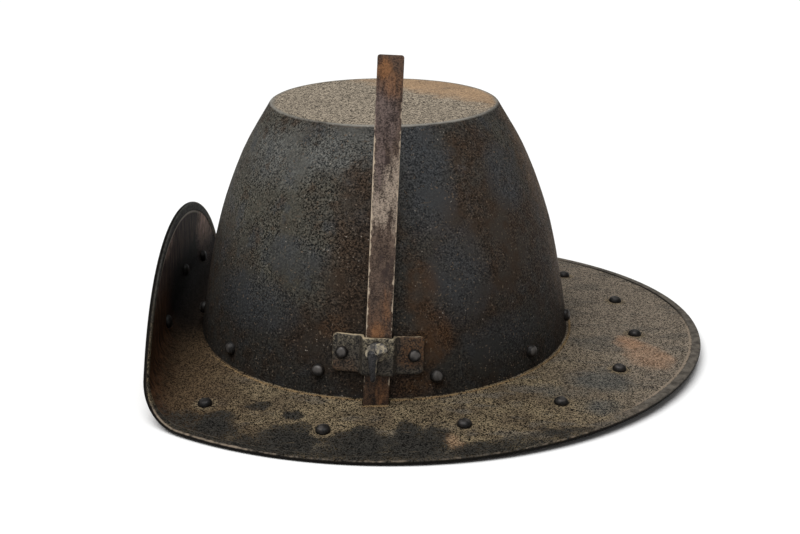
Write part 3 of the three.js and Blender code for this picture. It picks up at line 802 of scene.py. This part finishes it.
def bracket_material():
    """Dark forged plate with rust at one end and a scuffed top edge with a painted highlight that fades
    towards the right wing.
    """
    iron = Shader("bracket_iron")
    grain = iron.speckle(0.6)
    clouds = iron.noise(6, 4)
    dark = iron.tones(grain, (18, 16, 14), (76, 70, 61))
    rust = iron.tones(grain, (30, 20, 12), (96, 66, 40))
    bare = iron.tones(grain, (44, 40, 34), (138, 128, 106))
    iron.colour = dark
    iron.paint(iron.ragged("rust", clouds, 0.7, 0.8), rust)
    iron.paint(iron.ragged("bare", iron.noise(1.6, 3), 1.5, 0.5), bare)
    # Scuffed edges with a painted highlight along the top
    worn_and_lit = iron.ragged("edge", iron.noise(4, 4), 1.3, 0.3)
    iron.paint(worn_and_lit, srgb(158, 142, 116))
    pits = iron.noise(1.4, 3, 0.65)
    roughness = iron.span(pits, 0.35, 0.65, 0.5, 0.74)
    return iron.finish(roughness, pits, 0.28, metallic=0.1, specular=0.3)


def rivet_material():
    """Dark iron of the rivets, scuffed, with a painted highlight on the heads' upper sides."""
    iron = Shader("rivet_iron")
    grain = iron.speckle(0.6)
    clouds = iron.noise(4, 3)
    iron.colour = iron.tones(grain, (12, 11, 10), (34, 31, 29))
    iron.paint(iron.span(clouds, 0.52, 0.72), srgb(40, 31, 25))
    # Scuffed heads with a painted highlight on their upper sides
    worn_and_lit = iron.ragged("edge", clouds, 1.2, 0.4)
    iron.paint(worn_and_lit, srgb(80, 76, 73))
    pits = iron.noise(1.2, 3, 0.65)
    roughness = iron.span(pits, 0.35, 0.65, 0.42, 0.62)
    return iron.finish(roughness, pits, 0.15, metallic=0.3)


def screw_material():
    """Blue-grey iron of the thumb screw, scuffed bright in places, with painted light that differs from face
    to face of the boss and a painted highlight down one side of the leaf.
    """
    iron = Shader("screw_iron")
    grain = iron.speckle(0.5)
    patches = iron.noise(2.2, 4, 0.65)
    iron.colour = iron.tones(grain, (24, 24, 26), (60, 58, 58))
    # Scuffed places, with painted light on the boss's faces and down the leaf's side
    worn_and_lit = iron.ragged("edge", patches, 0.9, 0.5)
    rubbed_and_lit = iron.tones(iron.span(patches, 0.40, 0.60), (102, 98, 93), (170, 158, 134))
    iron.paint(worn_and_lit, rubbed_and_lit)
    iron.paint(iron.ragged("crack", patches, 1.0, 0.3), srgb(22, 19, 18))
    roughness = iron.span(patches, 0.35, 0.65, 0.4, 0.62)
    return iron.finish(roughness, patches, 0.35, metallic=0.2)


# Pieces

def make_crown(material):
    """A hollow shell with an unevenly hammered outside and a flat top."""
    angle = np.linspace(0, 2 * math.pi, CROWN_AROUND, endpoint=False)[:, None]
    top_half = CROWN_HALF_WIDTHS[-1]
    inner_top = np.linspace(top_half, CROWN_WALL, CROWN_INNER_ROWS, endpoint=False)
    inner_side = np.linspace(CROWN_HEIGHT - CROWN_WALL, 0, CROWN_INNER_ROWS)
    side = np.linspace(0, CROWN_HEIGHT - CROWN_BEVEL, CROWN_SIDE_ROWS)
    turn = np.linspace(0, math.pi / 2, len(BEVEL_SHINE) - 1)[1:]
    top = np.linspace(CROWN_BEVEL, top_half, CROWN_TOP_ROWS + 1)[1:]
    # Heights, insets, whether outside and whether on the flat top
    stretches = [
        (inner_side[0], inner_top, 0.0, 0.0),
        (inner_side, CROWN_WALL, 0.0, 0.0),
        (side, 0.0, 1.0, 0.0),
        (CROWN_HEIGHT - CROWN_BEVEL * (1 - np.sin(turn)), CROWN_BEVEL * (1 - np.cos(turn)), 1.0, 0.0),
        (CROWN_HEIGHT, top, 1.0, 1.0),
    ]
    rows = [np.broadcast_arrays(*stretch) for stretch in stretches]
    height, inset, outside, on_top = [np.concatenate(values) for values in zip(*rows)]
    on_top[-CROWN_TOP_ROWS - 1] = BEVEL_DUST
    bevel_start = len(height) - len(top) - len(turn) - 1
    on_bevel = np.zeros(len(height))
    on_bevel[bevel_start:bevel_start + len(BEVEL_SHINE)] = BEVEL_SHINE
    shell = crown_points(angle, height, inset)
    hollow = CROWN_DENT * bumps(shell, CROWN_DENT_SIZE, 2) + CROWN_PIT * bumps(shell, CROWN_PIT_SIZE, 2)
    hollow = np.clip(hollow, 0, CROWN_DEEPEST) * outside
    flat_top = on_top > 0.5
    points = crown_points(angle, height, inset + np.where(flat_top, 0, hollow))
    points[..., 2] -= np.where(flat_top, hollow, 0)
    for middle in (0, -1):
        points[:, middle, :] = points[:, middle, :].mean(axis=0)
    degrees = (np.degrees(angle) + 180) % 360 - 180
    all_round = np.ones_like(degrees)
    side_only = outside * (1 - on_top)
    masks = {name: stains(degrees, height, table) * side_only for name, table in CROWN_STAINS.items()}
    masks["top"] = on_top * outside * all_round
    masks["ochre"] = on_top * fade(CROWN_FADES["ochre"], points[..., :2] @ OCHRE_TOWARDS)
    # Scuffed top edge with a painted highlight
    masks["edge"] = on_bevel * (BEVEL_LEAST + BEVEL_MORE * stains(degrees, 0.0, BEVEL_WEAR_AND_SHINE))
    # Painted shade towards the foot
    masks["foot"] = fade(CROWN_FADES["foot"], height) * side_only * all_round
    smooth = fade(CROWN_FADES["right"], degrees) * fade(CROWN_FADES["not_back"], degrees)
    masks["smooth"] = smooth * side_only
    faces = grid_faces(CROWN_AROUND, len(height), True, False)
    add_piece("crown", "hat", material, points, faces, masks, sharp=60)


def brim_columns():
    """One section of the brim, from the crown along the underside, round the roll and back along the
    top. Each column is out from the foot, a share of the sheet, or out from the edge, and a lift."""
    border = -HEM_WIDTH
    roll_top = BRIM_SHEET + HEM_PROUD
    half_roll = BRIM_SHEET / 2 + HEM_PROUD
    under = [("foot", -FLANGE_INNER * share, 0.0) for share in (1, 0.5, 0)]
    under += [("sheet", share, 0.0) for share in np.linspace(0, 1, 28)]
    under += [("edge", border, 0.0)]
    roll = [("edge", border + ROLL_FOOT, -ROLL_FOOT_RISE), ("edge", border + ROLL_SHOULDER, -HEM_PROUD)]
    for turn in np.radians(np.linspace(-90, 90, 11)):
        bulge = ROLL_ROUND * (math.cos(turn) - 1)
        roll.append(("edge", bulge, BRIM_SHEET / 2 + half_roll * math.sin(turn)))
    roll += [("edge", out, roll_top) for out in (-2.2, -3.2, border + ROLL_SHOULDER)]
    roll += [("edge", border + ROLL_FOOT, BRIM_SHEET + ROLL_FOOT_RISE)]
    top = [("edge", border - out, BRIM_SHEET) for out in np.linspace(0, SHEET_MARGIN, 18)]
    top += [("sheet", share, BRIM_SHEET) for share in np.linspace(1, 0, 40)[1:-1]]
    top += [("foot", out, BRIM_SHEET) for out in np.linspace(SHEET_MARGIN, 0, 16)]
    return under + roll + top


def brim_fade(name, value):
    """One of the brim's fades at a value."""
    return fade(BRIM_FADES[name], value)


def brim_masks(flat, from_hem, lift, ridge, upper, hem):
    """Where each look of the brim lies, from 0 to 1."""
    x, y, _ = np.moveaxis(flat, -1, 0)
    beyond = -x - fold_start(y)
    top_side = lift > TOP_ABOVE
    on_flap = brim_fade("on_flap", beyond)
    right = brim_fade("right", x)
    back_right = right * brim_fade("back", y)
    front_left = (1 - right) * (1 - on_flap)
    groove = brim_fade("groove", np.abs(from_hem)) * top_side * back_right
    beside_hem = brim_fade("hem_line", np.abs(from_hem - HEM_LINE_IN)) * upper
    roll_top = hem * brim_fade("roll_from", lift) * brim_fade("roll_to", lift)
    roll_side = hem * brim_fade("roll_low", lift) * brim_fade("roll_outside", from_hem)
    # Wear and painted highlight along the top of the roll at the front
    front_roll_highlight = roll_top * front_left * (ROLL_LEAST + brim_fade("left", x))
    dirt = brim_fade("dirt", from_hem) * brim_fade("dirt_left", x) * brim_fade("dirt_front", y)
    # Painted shade in the nook by the crown
    nook_shade = brim_fade("nook_shade_back", y) * brim_fade("nook_shade_from", beyond) * brim_fade("nook_shade_to", beyond)
    # Painted highlight on the slot's front edge
    slot = brim_fade("slot", np.abs(y + SLOT_FRONT)) * (np.abs(x - NASAL_ASIDE) < BAR_WIDTH / 2)
    halo = np.zeros_like(x)
    for degrees, share in BRIM_RIVETS:
        rivet_x, rivet_y = brim_plan(math.radians(degrees), share)
        halo = np.maximum(halo, brim_fade("halo", np.hypot(x - rivet_x, y - rivet_y)))
    drift_x = x + STAIN_DRIFT * uneven(flat, DRIFT_SIZE_X, 3, seed=7.0)
    drift_y = y + STAIN_DRIFT * uneven(flat, DRIFT_SIZE_Y, 3, seed=3.0)
    spots = {name: stains(drift_x, drift_y, table) for name, table in BRIM_STAINS.items()}
    masks = {name: stains(y, beyond, table) * upper for name, table in FLAP_STAINS.items()}
    masks.update({
        "black": np.maximum(spots["black"], dirt * (1 - on_flap)) * top_side,
        "blue": spots["blue"] * upper,
        "rust": spots["rust"] * upper,
        "pale": brim_fade("pale", x + PALE_SLANT * y),
        "halo": halo * upper * (1 - on_flap),
        "under": lift < UNDER_BELOW,
        # Painted shade before the bend and over the turned-up side's inside
        "bend_shade": brim_fade("bend_shade", beyond) * upper,
        "flap": brim_fade("flap", beyond) * upper,
        "flap_top": brim_fade("flap_top", beyond) * upper,
        "nook_shade": nook_shade * upper,
        "hem": hem * top_side * right,
        "rim": hem * top_side * brim_fade("rim", beyond),
        "shade": np.maximum(groove, roll_side),
        "roll_highlight": np.maximum(beside_hem * (right - back_right), front_roll_highlight),
        "glint": beside_hem * on_flap * brim_fade("glint", beyond),
        "lip": np.clip(np.maximum(ridge * brim_fade("lip", beyond), slot * upper), 0, 1),
    })
    return masks


def make_brim(material):
    """A waved sheet with a rolled edge and one side bent up, and a flange inside the crown's foot."""
    angle = np.linspace(0, 2 * math.pi, BRIM_AROUND, endpoint=False)[:, None]
    width = brim_width(angle)
    columns = brim_columns()
    places = {
        "foot": lambda out: 0 * width + out,
        "sheet": lambda share: SHEET_MARGIN + (width - HEM_WIDTH - 2 * SHEET_MARGIN) * share,
        "edge": lambda out: width + out,
    }
    out = np.concatenate([places[kind](value) for kind, value, _ in columns], axis=1)
    lift = np.array([lift for _, _, lift in columns]) * np.ones_like(width)
    on_edge = np.array([kind == "edge" for kind, _, _ in columns])
    from_hem = width - HEM_WIDTH - out
    upper = (lift >= BRIM_SHEET) & (from_hem > -ROLL_SLACK)
    hem = (from_hem <= -ROLL_SLACK) & on_edge
    flat = xyz(*brim_plan(angle, out / width), 0.0)
    ridge = np.exp(-(((out - LIP_OUT) / LIP_WIDTH) ** 2)) * upper
    ridge *= 1 + LIP_UNEVEN * uneven(flat, LIP_UNEVEN_SIZE, 3)
    waves = BRIM_WAVE * uneven(flat, BRIM_WAVE_SIZE, 2)
    waves *= brim_fade("wave_from", out) * brim_fade("wave_to", width - out)
    sheet = brim_points(angle, out, lift + LIP_HEIGHT * ridge + waves)
    heights = np.linspace(1.0, FLANGE_HEIGHT, 6)
    outer = crown_points(angle, heights, FLANGE_OUTER)
    inner = crown_points(angle, heights[::-1], FLANGE_INNER)
    points = np.concatenate([sheet, outer, inner], axis=1)
    flange = np.ones((BRIM_AROUND, 2 * len(heights)))
    sheet_masks = brim_masks(flat, from_hem, lift, ridge, upper, hem)
    masks = {
        name: np.concatenate([mask, flange * (name == "under")], axis=1) for name, mask in sheet_masks.items()
    }
    faces = grid_faces(BRIM_AROUND, points.shape[1], True, True)
    brim = add_piece("brim", "hat", material, points, faces, masks, sharp=50)
    cut_slot(brim)


def cut_away(piece, loops):
    """Cuts the space between two equal loops of the bar's frame out of a piece."""
    mesh = bpy.data.meshes.new("cutter")
    places = to_row(from_nasal(loops.reshape(-1, 3)))
    mesh.from_pydata(places.tolist(), [], loft_faces(2, loops.shape[1]))
    clean(mesh)
    cutter = bpy.data.objects.new("cutter", mesh)
    bpy.context.collection.objects.link(cutter)
    modifier = piece.modifiers.new("cut", "BOOLEAN")
    modifier.operation = "DIFFERENCE"
    modifier.solver = "EXACT"
    modifier.object = cutter
    evaluated = piece.evaluated_get(bpy.context.evaluated_depsgraph_get())
    whole = piece.data
    piece.data = bpy.data.meshes.new_from_object(evaluated)
    piece.modifiers.clear()
    bpy.data.meshes.remove(whole)
    bpy.data.objects.remove(cutter)
    bpy.data.meshes.remove(mesh)


def cut_slot(brim):
    """Cuts the slot that the nasal bar slides through."""
    half_width = BAR_WIDTH / 2 + SLOT_CLEARANCE
    back = SLOT_CLEARANCE
    front = -BAR_THICKNESS - SLOT_CLEARANCE
    corners = [(-half_width, front), (-half_width, back), (half_width, back), (half_width, front)]
    cut_away(brim, np.array([[(x, y, z) for x, y in corners] for z in SLOT_CUT]))


def cut_screw_hole(bracket):
    """Cuts the round hole for the screw's shank through the bracket's bridge."""
    turn = np.linspace(0, 2 * math.pi, 32, endpoint=False)
    radius = SCREW_SHANK + GAP
    ring = xyz(radius * np.cos(turn), 0.0, SCREW_HEIGHT + radius * np.sin(turn))
    ends = [BRIDGE_BACK + BRIDGE_CLEARANCE, BRIDGE_BACK - 2 * BRACKET_PLATE]
    cut_away(bracket, np.array([ring + (0, depth, 0) for depth in ends]))


def make_rivet(node, material, size, place, outwards, seed):
    """A hand-set rivet: a low uneven dome, and a smaller tail behind the sheet."""
    around = 28
    turn = np.linspace(0, 2 * math.pi, around, endpoint=False)
    rise = np.linspace(0, math.pi / 2, 9)
    low = -size["grip"] - size["drop"]
    tail_radius = [0.0, size["tail"] * RIVET_TAIL_EDGE[0], size["tail"]]
    tail_height = [low, low, low + size["drop"] * RIVET_TAIL_EDGE[1]]
    radius = np.concatenate([tail_radius, size["head"] * np.cos(rise) ** RIVET_FULLNESS])[:, None]
    radius[-1] = 0.0
    height = np.concatenate([tail_height, size["rise"] * np.sin(rise)])[:, None]
    points = xyz(radius * np.cos(turn), radius * np.sin(turn), height)
    points = points * (1 + RIVET_UNEVEN * uneven(points, RIVET_UNEVEN_SIZE, 2, seed)[..., None])
    rotation = np.array(Vector((0, 0, 1)).rotation_difference(Vector(outwards)).to_matrix())
    points = points @ rotation.T + place
    # Wear and a painted highlight, on the upper side of the head
    on_dome = smoothstep(*RIVET_WORN, height / size["rise"])
    lit_upper_side = smoothstep(*RIVET_LIT_SIDE, (points[..., 2] - place[2]) / size["head"])
    masks = {"edge": size["rub_and_highlight"] * on_dome * lit_upper_side}
    faces = grid_faces(len(height), around, False, True)
    add_piece(node, "hat", material, points, faces, masks, sharp=70)


def normal_of(surface, u, v, step_u, step_v):
    """The direction square to a surface."""
    along_u = surface(u + step_u, v) - surface(u - step_u, v)
    along_v = surface(u, v + step_v) - surface(u, v - step_v)
    normal = np.cross(along_u, along_v)
    return normal / np.linalg.norm(normal)


def make_crown_rivets(material):
    """Rivets round the crown's foot."""
    def surface(angle, height):
        return crown_points(angle, height, 0.0)

    for number, (degrees, height) in enumerate(CROWN_RIVETS, 1):
        angle = math.radians(degrees)
        outwards = normal_of(surface, angle, height, ANGLE_STEP, LENGTH_STEP)
        place = surface(angle, height)
        seed = RIVET_SEEDS["crown"] + number
        make_rivet(f"crown_rivet_{number:02d}", material, CROWN_RIVET, place, outwards, seed)


def make_brim_rivets(material):
    """Rivets round the middle of the brim, with less painted highlight where they face sideways, so that they
    are darker there as painted shade.
    """
    def surface(angle, out):
        return brim_points(angle, out, BRIM_SHEET)

    for number, (degrees, share) in enumerate(BRIM_RIVETS, 1):
        angle = math.radians(degrees)
        out = share * brim_width(angle)
        outwards = -normal_of(surface, angle, out, ANGLE_STEP, LENGTH_STEP)
        place = surface(angle, out) + outwards * BRIM_RIVET_LIFT
        # Less painted highlight, so painted shade, where a rivet faces sideways
        size = dict(BRIM_RIVET, rub_and_highlight=BRIM_RIVET["rub_and_highlight"] * max(0, outwards[2]))
        seed = RIVET_SEEDS["brim"] + number
        make_rivet(f"brim_rivet_{number:02d}", material, size, place, outwards, seed)


def make_bracket_rivets(material):
    """The two rivets in the bracket's wings."""
    middle = (BRACKET_BOTTOM + BRACKET_TOP) / 2

    def surface(across, height):
        depth = crown_depth(across, height) - GAP - BRACKET_PLATE
        return from_nasal(np.array([across, float(depth), height]))

    for number, side in enumerate((-1, 1), 1):
        across = side * BRACKET_RIVET_ACROSS
        outwards = normal_of(surface, across, middle, LENGTH_STEP, LENGTH_STEP)
        place = surface(across, middle)
        seed = RIVET_SEEDS["bracket"] + number
        make_rivet(f"bracket_rivet_{number:02d}", material, BRACKET_RIVET, place, outwards, seed)


def rounded_loop(half_width, back, front, edge, per_edge):
    """A rectangle with rounded corners across X and Y."""
    loop = []
    # Corner in X and Y, and the degrees at which its rounding starts
    corners = [
        (half_width, front, -90), (half_width, back, 0), (-half_width, back, 90), (-half_width, front, 180),
    ]
    for x, y, start in corners:
        middle_x = x - math.copysign(edge, x)
        middle_y = y - (edge if y == back else -edge)
        for turn in np.radians(start + np.linspace(0, 90, per_edge)):
            loop.append((middle_x + edge * math.cos(turn), middle_y + edge * math.sin(turn)))
    return np.array(loop)


def fill_loop(loop, longest):
    """Adds points along the sides of a loop that are longer than longest."""
    filled = []
    for start, end in zip(loop, np.roll(loop, -1, axis=0)):
        steps = max(1, math.ceil(np.linalg.norm(end - start) / longest))
        filled += [start + (end - start) * step / steps for step in range(steps)]
    return np.array(filled)


def make_bar(material):
    """A flat bar with worn and notched edges."""
    fades = BAR_FADES
    loop = fill_loop(rounded_loop(BAR_WIDTH / 2, 0.0, -BAR_THICKNESS, BAR_EDGE, 4), 0.8)
    inside = np.linspace(BAR_BOTTOM + BAR_END, BAR_TOP - BAR_END, 190)
    height = np.concatenate([BAR_BOTTOM + BAR_END_STEPS, inside, (BAR_TOP - BAR_END_STEPS)[::-1]])[:, None]
    from_end = np.minimum(height - BAR_BOTTOM, BAR_TOP - height)
    narrow = 1 - rounding(BAR_CORNER, from_end) / (BAR_WIDTH / 2)
    thin = 1 - rounding(BAR_END_ROUND, from_end) / (BAR_THICKNESS / 2)
    middle = -BAR_THICKNESS / 2
    points = xyz(loop[:, 0] * narrow, middle + (loop[:, 1] - middle) * thin, height)
    near_edge = fade(fades["edge"], BAR_WIDTH / 2 - np.abs(points[..., 0]))
    bite = BAR_BITE * bumps(points, 5, 3) + BAR_NOTCH * near_edge * bumps(points, 2.4, 2, 3.0)
    points[..., 0] -= np.sign(points[..., 0]) * bite * near_edge
    points[..., 1] += np.sign(middle - points[..., 1]) * 0.5 * bite
    across, depth, up = np.moveaxis(points, -1, 0)
    # Painted highlight on the front edges, brighter on the left
    shine = np.where(across < 0, BAR_LEFT_SHINE, BAR_RIGHT_SHINE)
    front_edge = near_edge * fade(fades["front"], depth) * shine
    masks = {name: stains(across, up, table) for name, table in BAR_STAINS.items()}
    masks["edge"] = front_edge * fade(fades["edge_from"], up) * fade(fades["edge_to"], up)
    masks["rust"] = np.maximum(fade(fades["rust_high"], up), fade(fades["rust_low"], up))
    masks["pale"] = fade(fades["pale_from"], up) * fade(fades["pale_to"], up)
    # Painted shade with dirt low on the bar
    masks["low"] = fade(fades["low"], up)
    faces = loft_faces(len(height), len(loop))
    add_piece("nasal_bar", "nasal", material, from_nasal(points), faces, masks, sharp=60)


def bracket_depth(across, height, plate, shoulder):
    """Depth of one side of the bracket: wings on the crown, and a bridge over the bar."""
    wing = crown_depth(across, height) - GAP - plate
    bridge = np.minimum(BRIDGE_BACK - plate, wing)
    return wing + (bridge - wing) * smoothstep(*shoulder, np.abs(across))


def make_bracket(material):
    """A bent plate with wandering edges and a hole for the screw."""
    fades = BRACKET_FADES
    inside = np.linspace(BRACKET_END - BRACKET_HALF_WIDTH, BRACKET_HALF_WIDTH - BRACKET_END, 92)
    left_end = BRACKET_END_STEPS - BRACKET_HALF_WIDTH
    across = np.concatenate([left_end, inside, -left_end[::-1]])
    from_end = BRACKET_HALF_WIDTH - np.abs(across)
    corner = BRACKET_CORNER_DROP * rounding(BRACKET_CORNER, from_end)
    wander = xyz(across, 0.0, 0.0)
    bottom = BRACKET_BOTTOM + corner + BRACKET_LOW_WANDER * bumps(wander, 6, 3)
    top = BRACKET_TOP - corner - BRACKET_HIGH_WANDER * bumps(wander, 5, 3, 5.0)
    between_edges = np.linspace(0.07, 0.93, BRACKET_FRONT_ROWS)
    steps = np.concatenate([BRACKET_EDGE_STEPS, between_edges, 1 - BRACKET_EDGE_STEPS[::-1]])
    drops = np.array(BRACKET_EDGE_DROPS + [0.0] * BRACKET_FRONT_ROWS + BRACKET_EDGE_DROPS[::-1])
    height = bottom[:, None] + (top - bottom)[:, None] * steps
    wide = np.broadcast_to(across[:, None], height.shape)
    depth = bracket_depth(wide, height, BRACKET_PLATE, BRIDGE_SHOULDER_FRONT)
    front = xyz(wide, depth + drops + rounding(BRACKET_END_ROUND, from_end)[:, None], height)
    front[..., 1] += BRACKET_UNEVEN * bumps(front, 4, 3)
    back_height = bottom[:, None] + (top - bottom)[:, None] * np.linspace(1, 0, BRACKET_BACK_ROWS)
    back_wide = np.broadcast_to(across[:, None], back_height.shape)
    back = xyz(back_wide, bracket_depth(back_wide, back_height, 0.0, BRIDGE_SHOULDER_BACK), back_height)
    points = np.concatenate([front, back], axis=1)
    spread = points[..., 0]
    up = points[..., 2]
    # Painted highlight along the top edge, fainter on the right wing, with wear at the ends
    front_shine = BRACKET_LOWER_SHINE + [0.0] * BRACKET_FRONT_ROWS + BRACKET_UPPER_SHINE
    shine = np.array(front_shine + [BRACKET_BEHIND_SHINE] + [0.0] * (BRACKET_BACK_ROWS - 1))
    rust_right = fade(fades["rust_right"], spread) * fade(fades["rust_up"], up)
    rust_left = fade(fades["rust_left"], spread) * fade(fades["rust_down"], up)
    bare_bridge = fade(fades["bridge"], np.abs(spread)) * fade(fades["bridge_up"], up)
    bare_left = fade(fades["bare_left"], spread) * fade(fades["bare_up"], up)
    masks = {
        "edge": shine * (1 - fade(fades["right_wing"], spread)) + fade(fades["end"], from_end)[:, None],
        "rust": rust_right + rust_left,
        "bare": bare_bridge + bare_left,
    }
    places = from_nasal(points)
    faces = loft_faces(len(across), points.shape[1])
    bracket = add_piece("bracket", "hat", material, places, faces, masks, sharp=60)
    cut_screw_hole(bracket)


def boss_shape():
    """The screw's shank and lumpy domed boss, with how bright each face is, from scuffing and painted light,
    and where it is cracked.
    """
    turn = np.linspace(0, 2 * math.pi, SCREW_AROUND, endpoint=False)
    profile = [(0.0, SHANK_END), (SCREW_SHANK, SHANK_END), (SCREW_SHANK, BOSS_BACK)]
    profile.append((SCREW_BOSS - BOSS_BEVEL, BOSS_BACK))
    dome = BOSS_BACK - BOSS_RIM
    for angle in np.linspace(0, math.pi / 2, 12):
        dome_radius = SCREW_BOSS * math.cos(angle) ** BOSS_FULLNESS
        profile.append((dome_radius, dome + (BOSS_TIP - dome) * math.sin(angle)))
    profile = np.array(profile)
    profile[-1, 0] = 0.0
    radius = profile[:, :1]
    boss = xyz(radius * np.cos(turn), profile[:, 1:], SCREW_HEIGHT + radius * np.sin(turn))
    in_front = smoothstep(BOSS_BACK + 0.1, BOSS_BACK - 0.1, boss[..., 1])
    boss[..., 0] *= 1 + (BOSS_STRETCH - 1) * in_front * (boss[..., 0] < 0)
    worn_and_lit = np.zeros(boss.shape[:2])
    crack = np.full(boss.shape[:2], np.inf)
    # Each face gets a painted brightness, highest where it faces up
    for *direction, reach, bright in BOSS_FACETS:
        normal = np.array(direction) / np.linalg.norm(direction)
        beyond = (boss - (0, BOSS_BACK, SCREW_HEIGHT)) @ normal - reach
        worn_and_lit = np.maximum(worn_and_lit, bright * smoothstep(-0.2, 0.4, beyond))
        crack = np.minimum(crack, np.abs(beyond))
        boss = boss - (np.maximum(0, beyond) * in_front)[..., None] * normal
    lumps = uneven(boss, BOSS_LUMP_SIZE, 3) * smoothstep(BOSS_BACK, BOSS_BACK - 1.5, boss[..., 1])
    return boss + BOSS_LUMP * lumps[..., None], worn_and_lit, smoothstep(0.30, 0.05, crack) * in_front


def leaf_shape():
    """The screw's leaf, which hangs from the boss and tapers to its end, with a painted highlight down its
    right-hand side.
    """
    turn = np.linspace(0, 2 * math.pi, SCREW_AROUND, endpoint=False)
    along = np.concatenate([[0.0], np.linspace(0.06, 0.94, 24), [0.97, 0.99, 1.0]])[:, None]
    closing = np.sqrt(np.clip((1.0 - along) / 0.06, 0, 1)) * np.sqrt(np.clip((along + 0.05) / 0.1, 0, 1))
    half_width = LEAF_HALF_WIDTH * (1 - LEAF_TAPER * along) * closing
    half_thick = (LEAF_HALF_THICKNESS - LEAF_THINNING * along) * closing
    bow = LEAF_BOW * np.sin(math.pi * along**0.7)
    side = LEAF_ASIDE + half_width * np.cos(turn)
    depth = (BOSS_TIP + BOSS_BACK) / 2 - bow + half_thick * np.sin(turn)
    reach = LEAF_REACH * along - LEAF_START
    lean = math.sin(LEAF_TILT)
    fall = math.cos(LEAF_TILT)
    leaf = xyz(side * fall - reach * lean, depth, SCREW_HEIGHT - reach * fall - side * lean)
    leaf = leaf + uneven(leaf, LEAF_LUMP_SIZE, 2, 2.0)[..., None] * LEAF_LUMP
    # Painted highlight down the leaf's right-hand side
    return leaf, LEAF_HIGHLIGHT * smoothstep(0.6, 1.0, np.cos(turn)) * np.ones_like(side)


def make_screw(material):
    """A lumpy domed boss on a shank, with one tapering leaf that hangs from its side."""
    boss, boss_worn_and_lit, boss_crack = boss_shape()
    leaf, leaf_highlight = leaf_shape()
    points = from_nasal(np.concatenate([boss.reshape(-1, 3), leaf.reshape(-1, 3)]))
    faces = grid_faces(len(boss), SCREW_AROUND, False, True)
    for face in loft_faces(len(leaf), SCREW_AROUND):
        faces.append([index + boss_worn_and_lit.size for index in face])
    masks = {
        "edge": np.concatenate([np.ravel(boss_worn_and_lit), np.ravel(leaf_highlight)]),
        "crack": np.concatenate([np.ravel(boss_crack), np.zeros(leaf_highlight.size)]),
    }
    add_piece("thumb_screw", "screw", material, points, faces, masks, sharp=30)


# Stage

def make_floor():
    """A plain pale floor."""
    shader = Shader("pale_floor")
    cloth = shader.noise(300, 2)
    shader.colour = shader.tones(cloth, (246, 246, 245), (250, 250, 250))
    shader.finish(0.9, cloth, 0.1, specular=0.1)
    mesh = bpy.data.meshes.new("floor")
    square = ((-1, -1), (1, -1), (1, 1), (-1, 1))
    corners = [(x * FLOOR_HALF, y * FLOOR_HALF, FLOOR_Z * MM) for x, y in square]
    mesh.from_pydata(corners, [], [(0, 1, 2, 3)])
    mesh.materials.append(shader.material)
    floor = bpy.data.objects.new("floor", mesh)
    bpy.context.collection.objects.link(floor)


def add_soft_light(name, towards, soft_angle, strength):
    """A broad light so far off that it falls evenly on the whole floor."""
    light = bpy.data.lights.new(name, "SUN")
    light.angle = soft_angle
    light.energy = strength
    lamp = bpy.data.objects.new(name, light)
    lamp.location = -np.array(towards)
    lamp.rotation_euler = Vector(towards).to_track_quat("-Z", "Y").to_euler()
    bpy.context.collection.objects.link(lamp)


def light_stage():
    """An evenly white world with one soft light from above."""
    world = bpy.data.worlds.new("soft_studio")
    world.use_nodes = True
    background = world.node_tree.nodes["Background"]
    background.inputs["Color"].default_value = (1.0, 1.0, 1.0, 1.0)
    background.inputs["Strength"].default_value = WORLD_STRENGTH
    bpy.context.scene.world = world
    bpy.context.scene.view_settings.view_transform = "Standard"
    add_soft_light("key", KEY_TOWARDS, KEY_SOFTNESS, KEY_STRENGTH)


def add_camera():
    """The camera that was fitted to the photo."""
    camera = bpy.data.cameras.new("photo_camera")
    camera.sensor_fit = "HORIZONTAL"
    camera.lens = camera.sensor_width * FOCAL_LENGTH_PX / IMAGE_WIDTH_PX
    viewer = bpy.data.objects.new("photo_camera", camera)
    viewer.location = to_row(np.array(CAMERA_PLACE))
    viewer.rotation_euler = (math.pi / 2 - CAMERA_PITCH, 0, 0)
    bpy.context.collection.objects.link(viewer)
    bpy.context.scene.camera = viewer


def main():
    """Builds all pieces and the stage."""
    rivet_iron = rivet_material()
    make_crown(crown_material())
    make_brim(brim_material())
    make_bar(bar_material())
    make_bracket(bracket_material())
    make_screw(screw_material())
    make_crown_rivets(rivet_iron)
    make_brim_rivets(rivet_iron)
    make_bracket_rivets(rivet_iron)
    make_floor()
    light_stage()
    add_camera()


main()
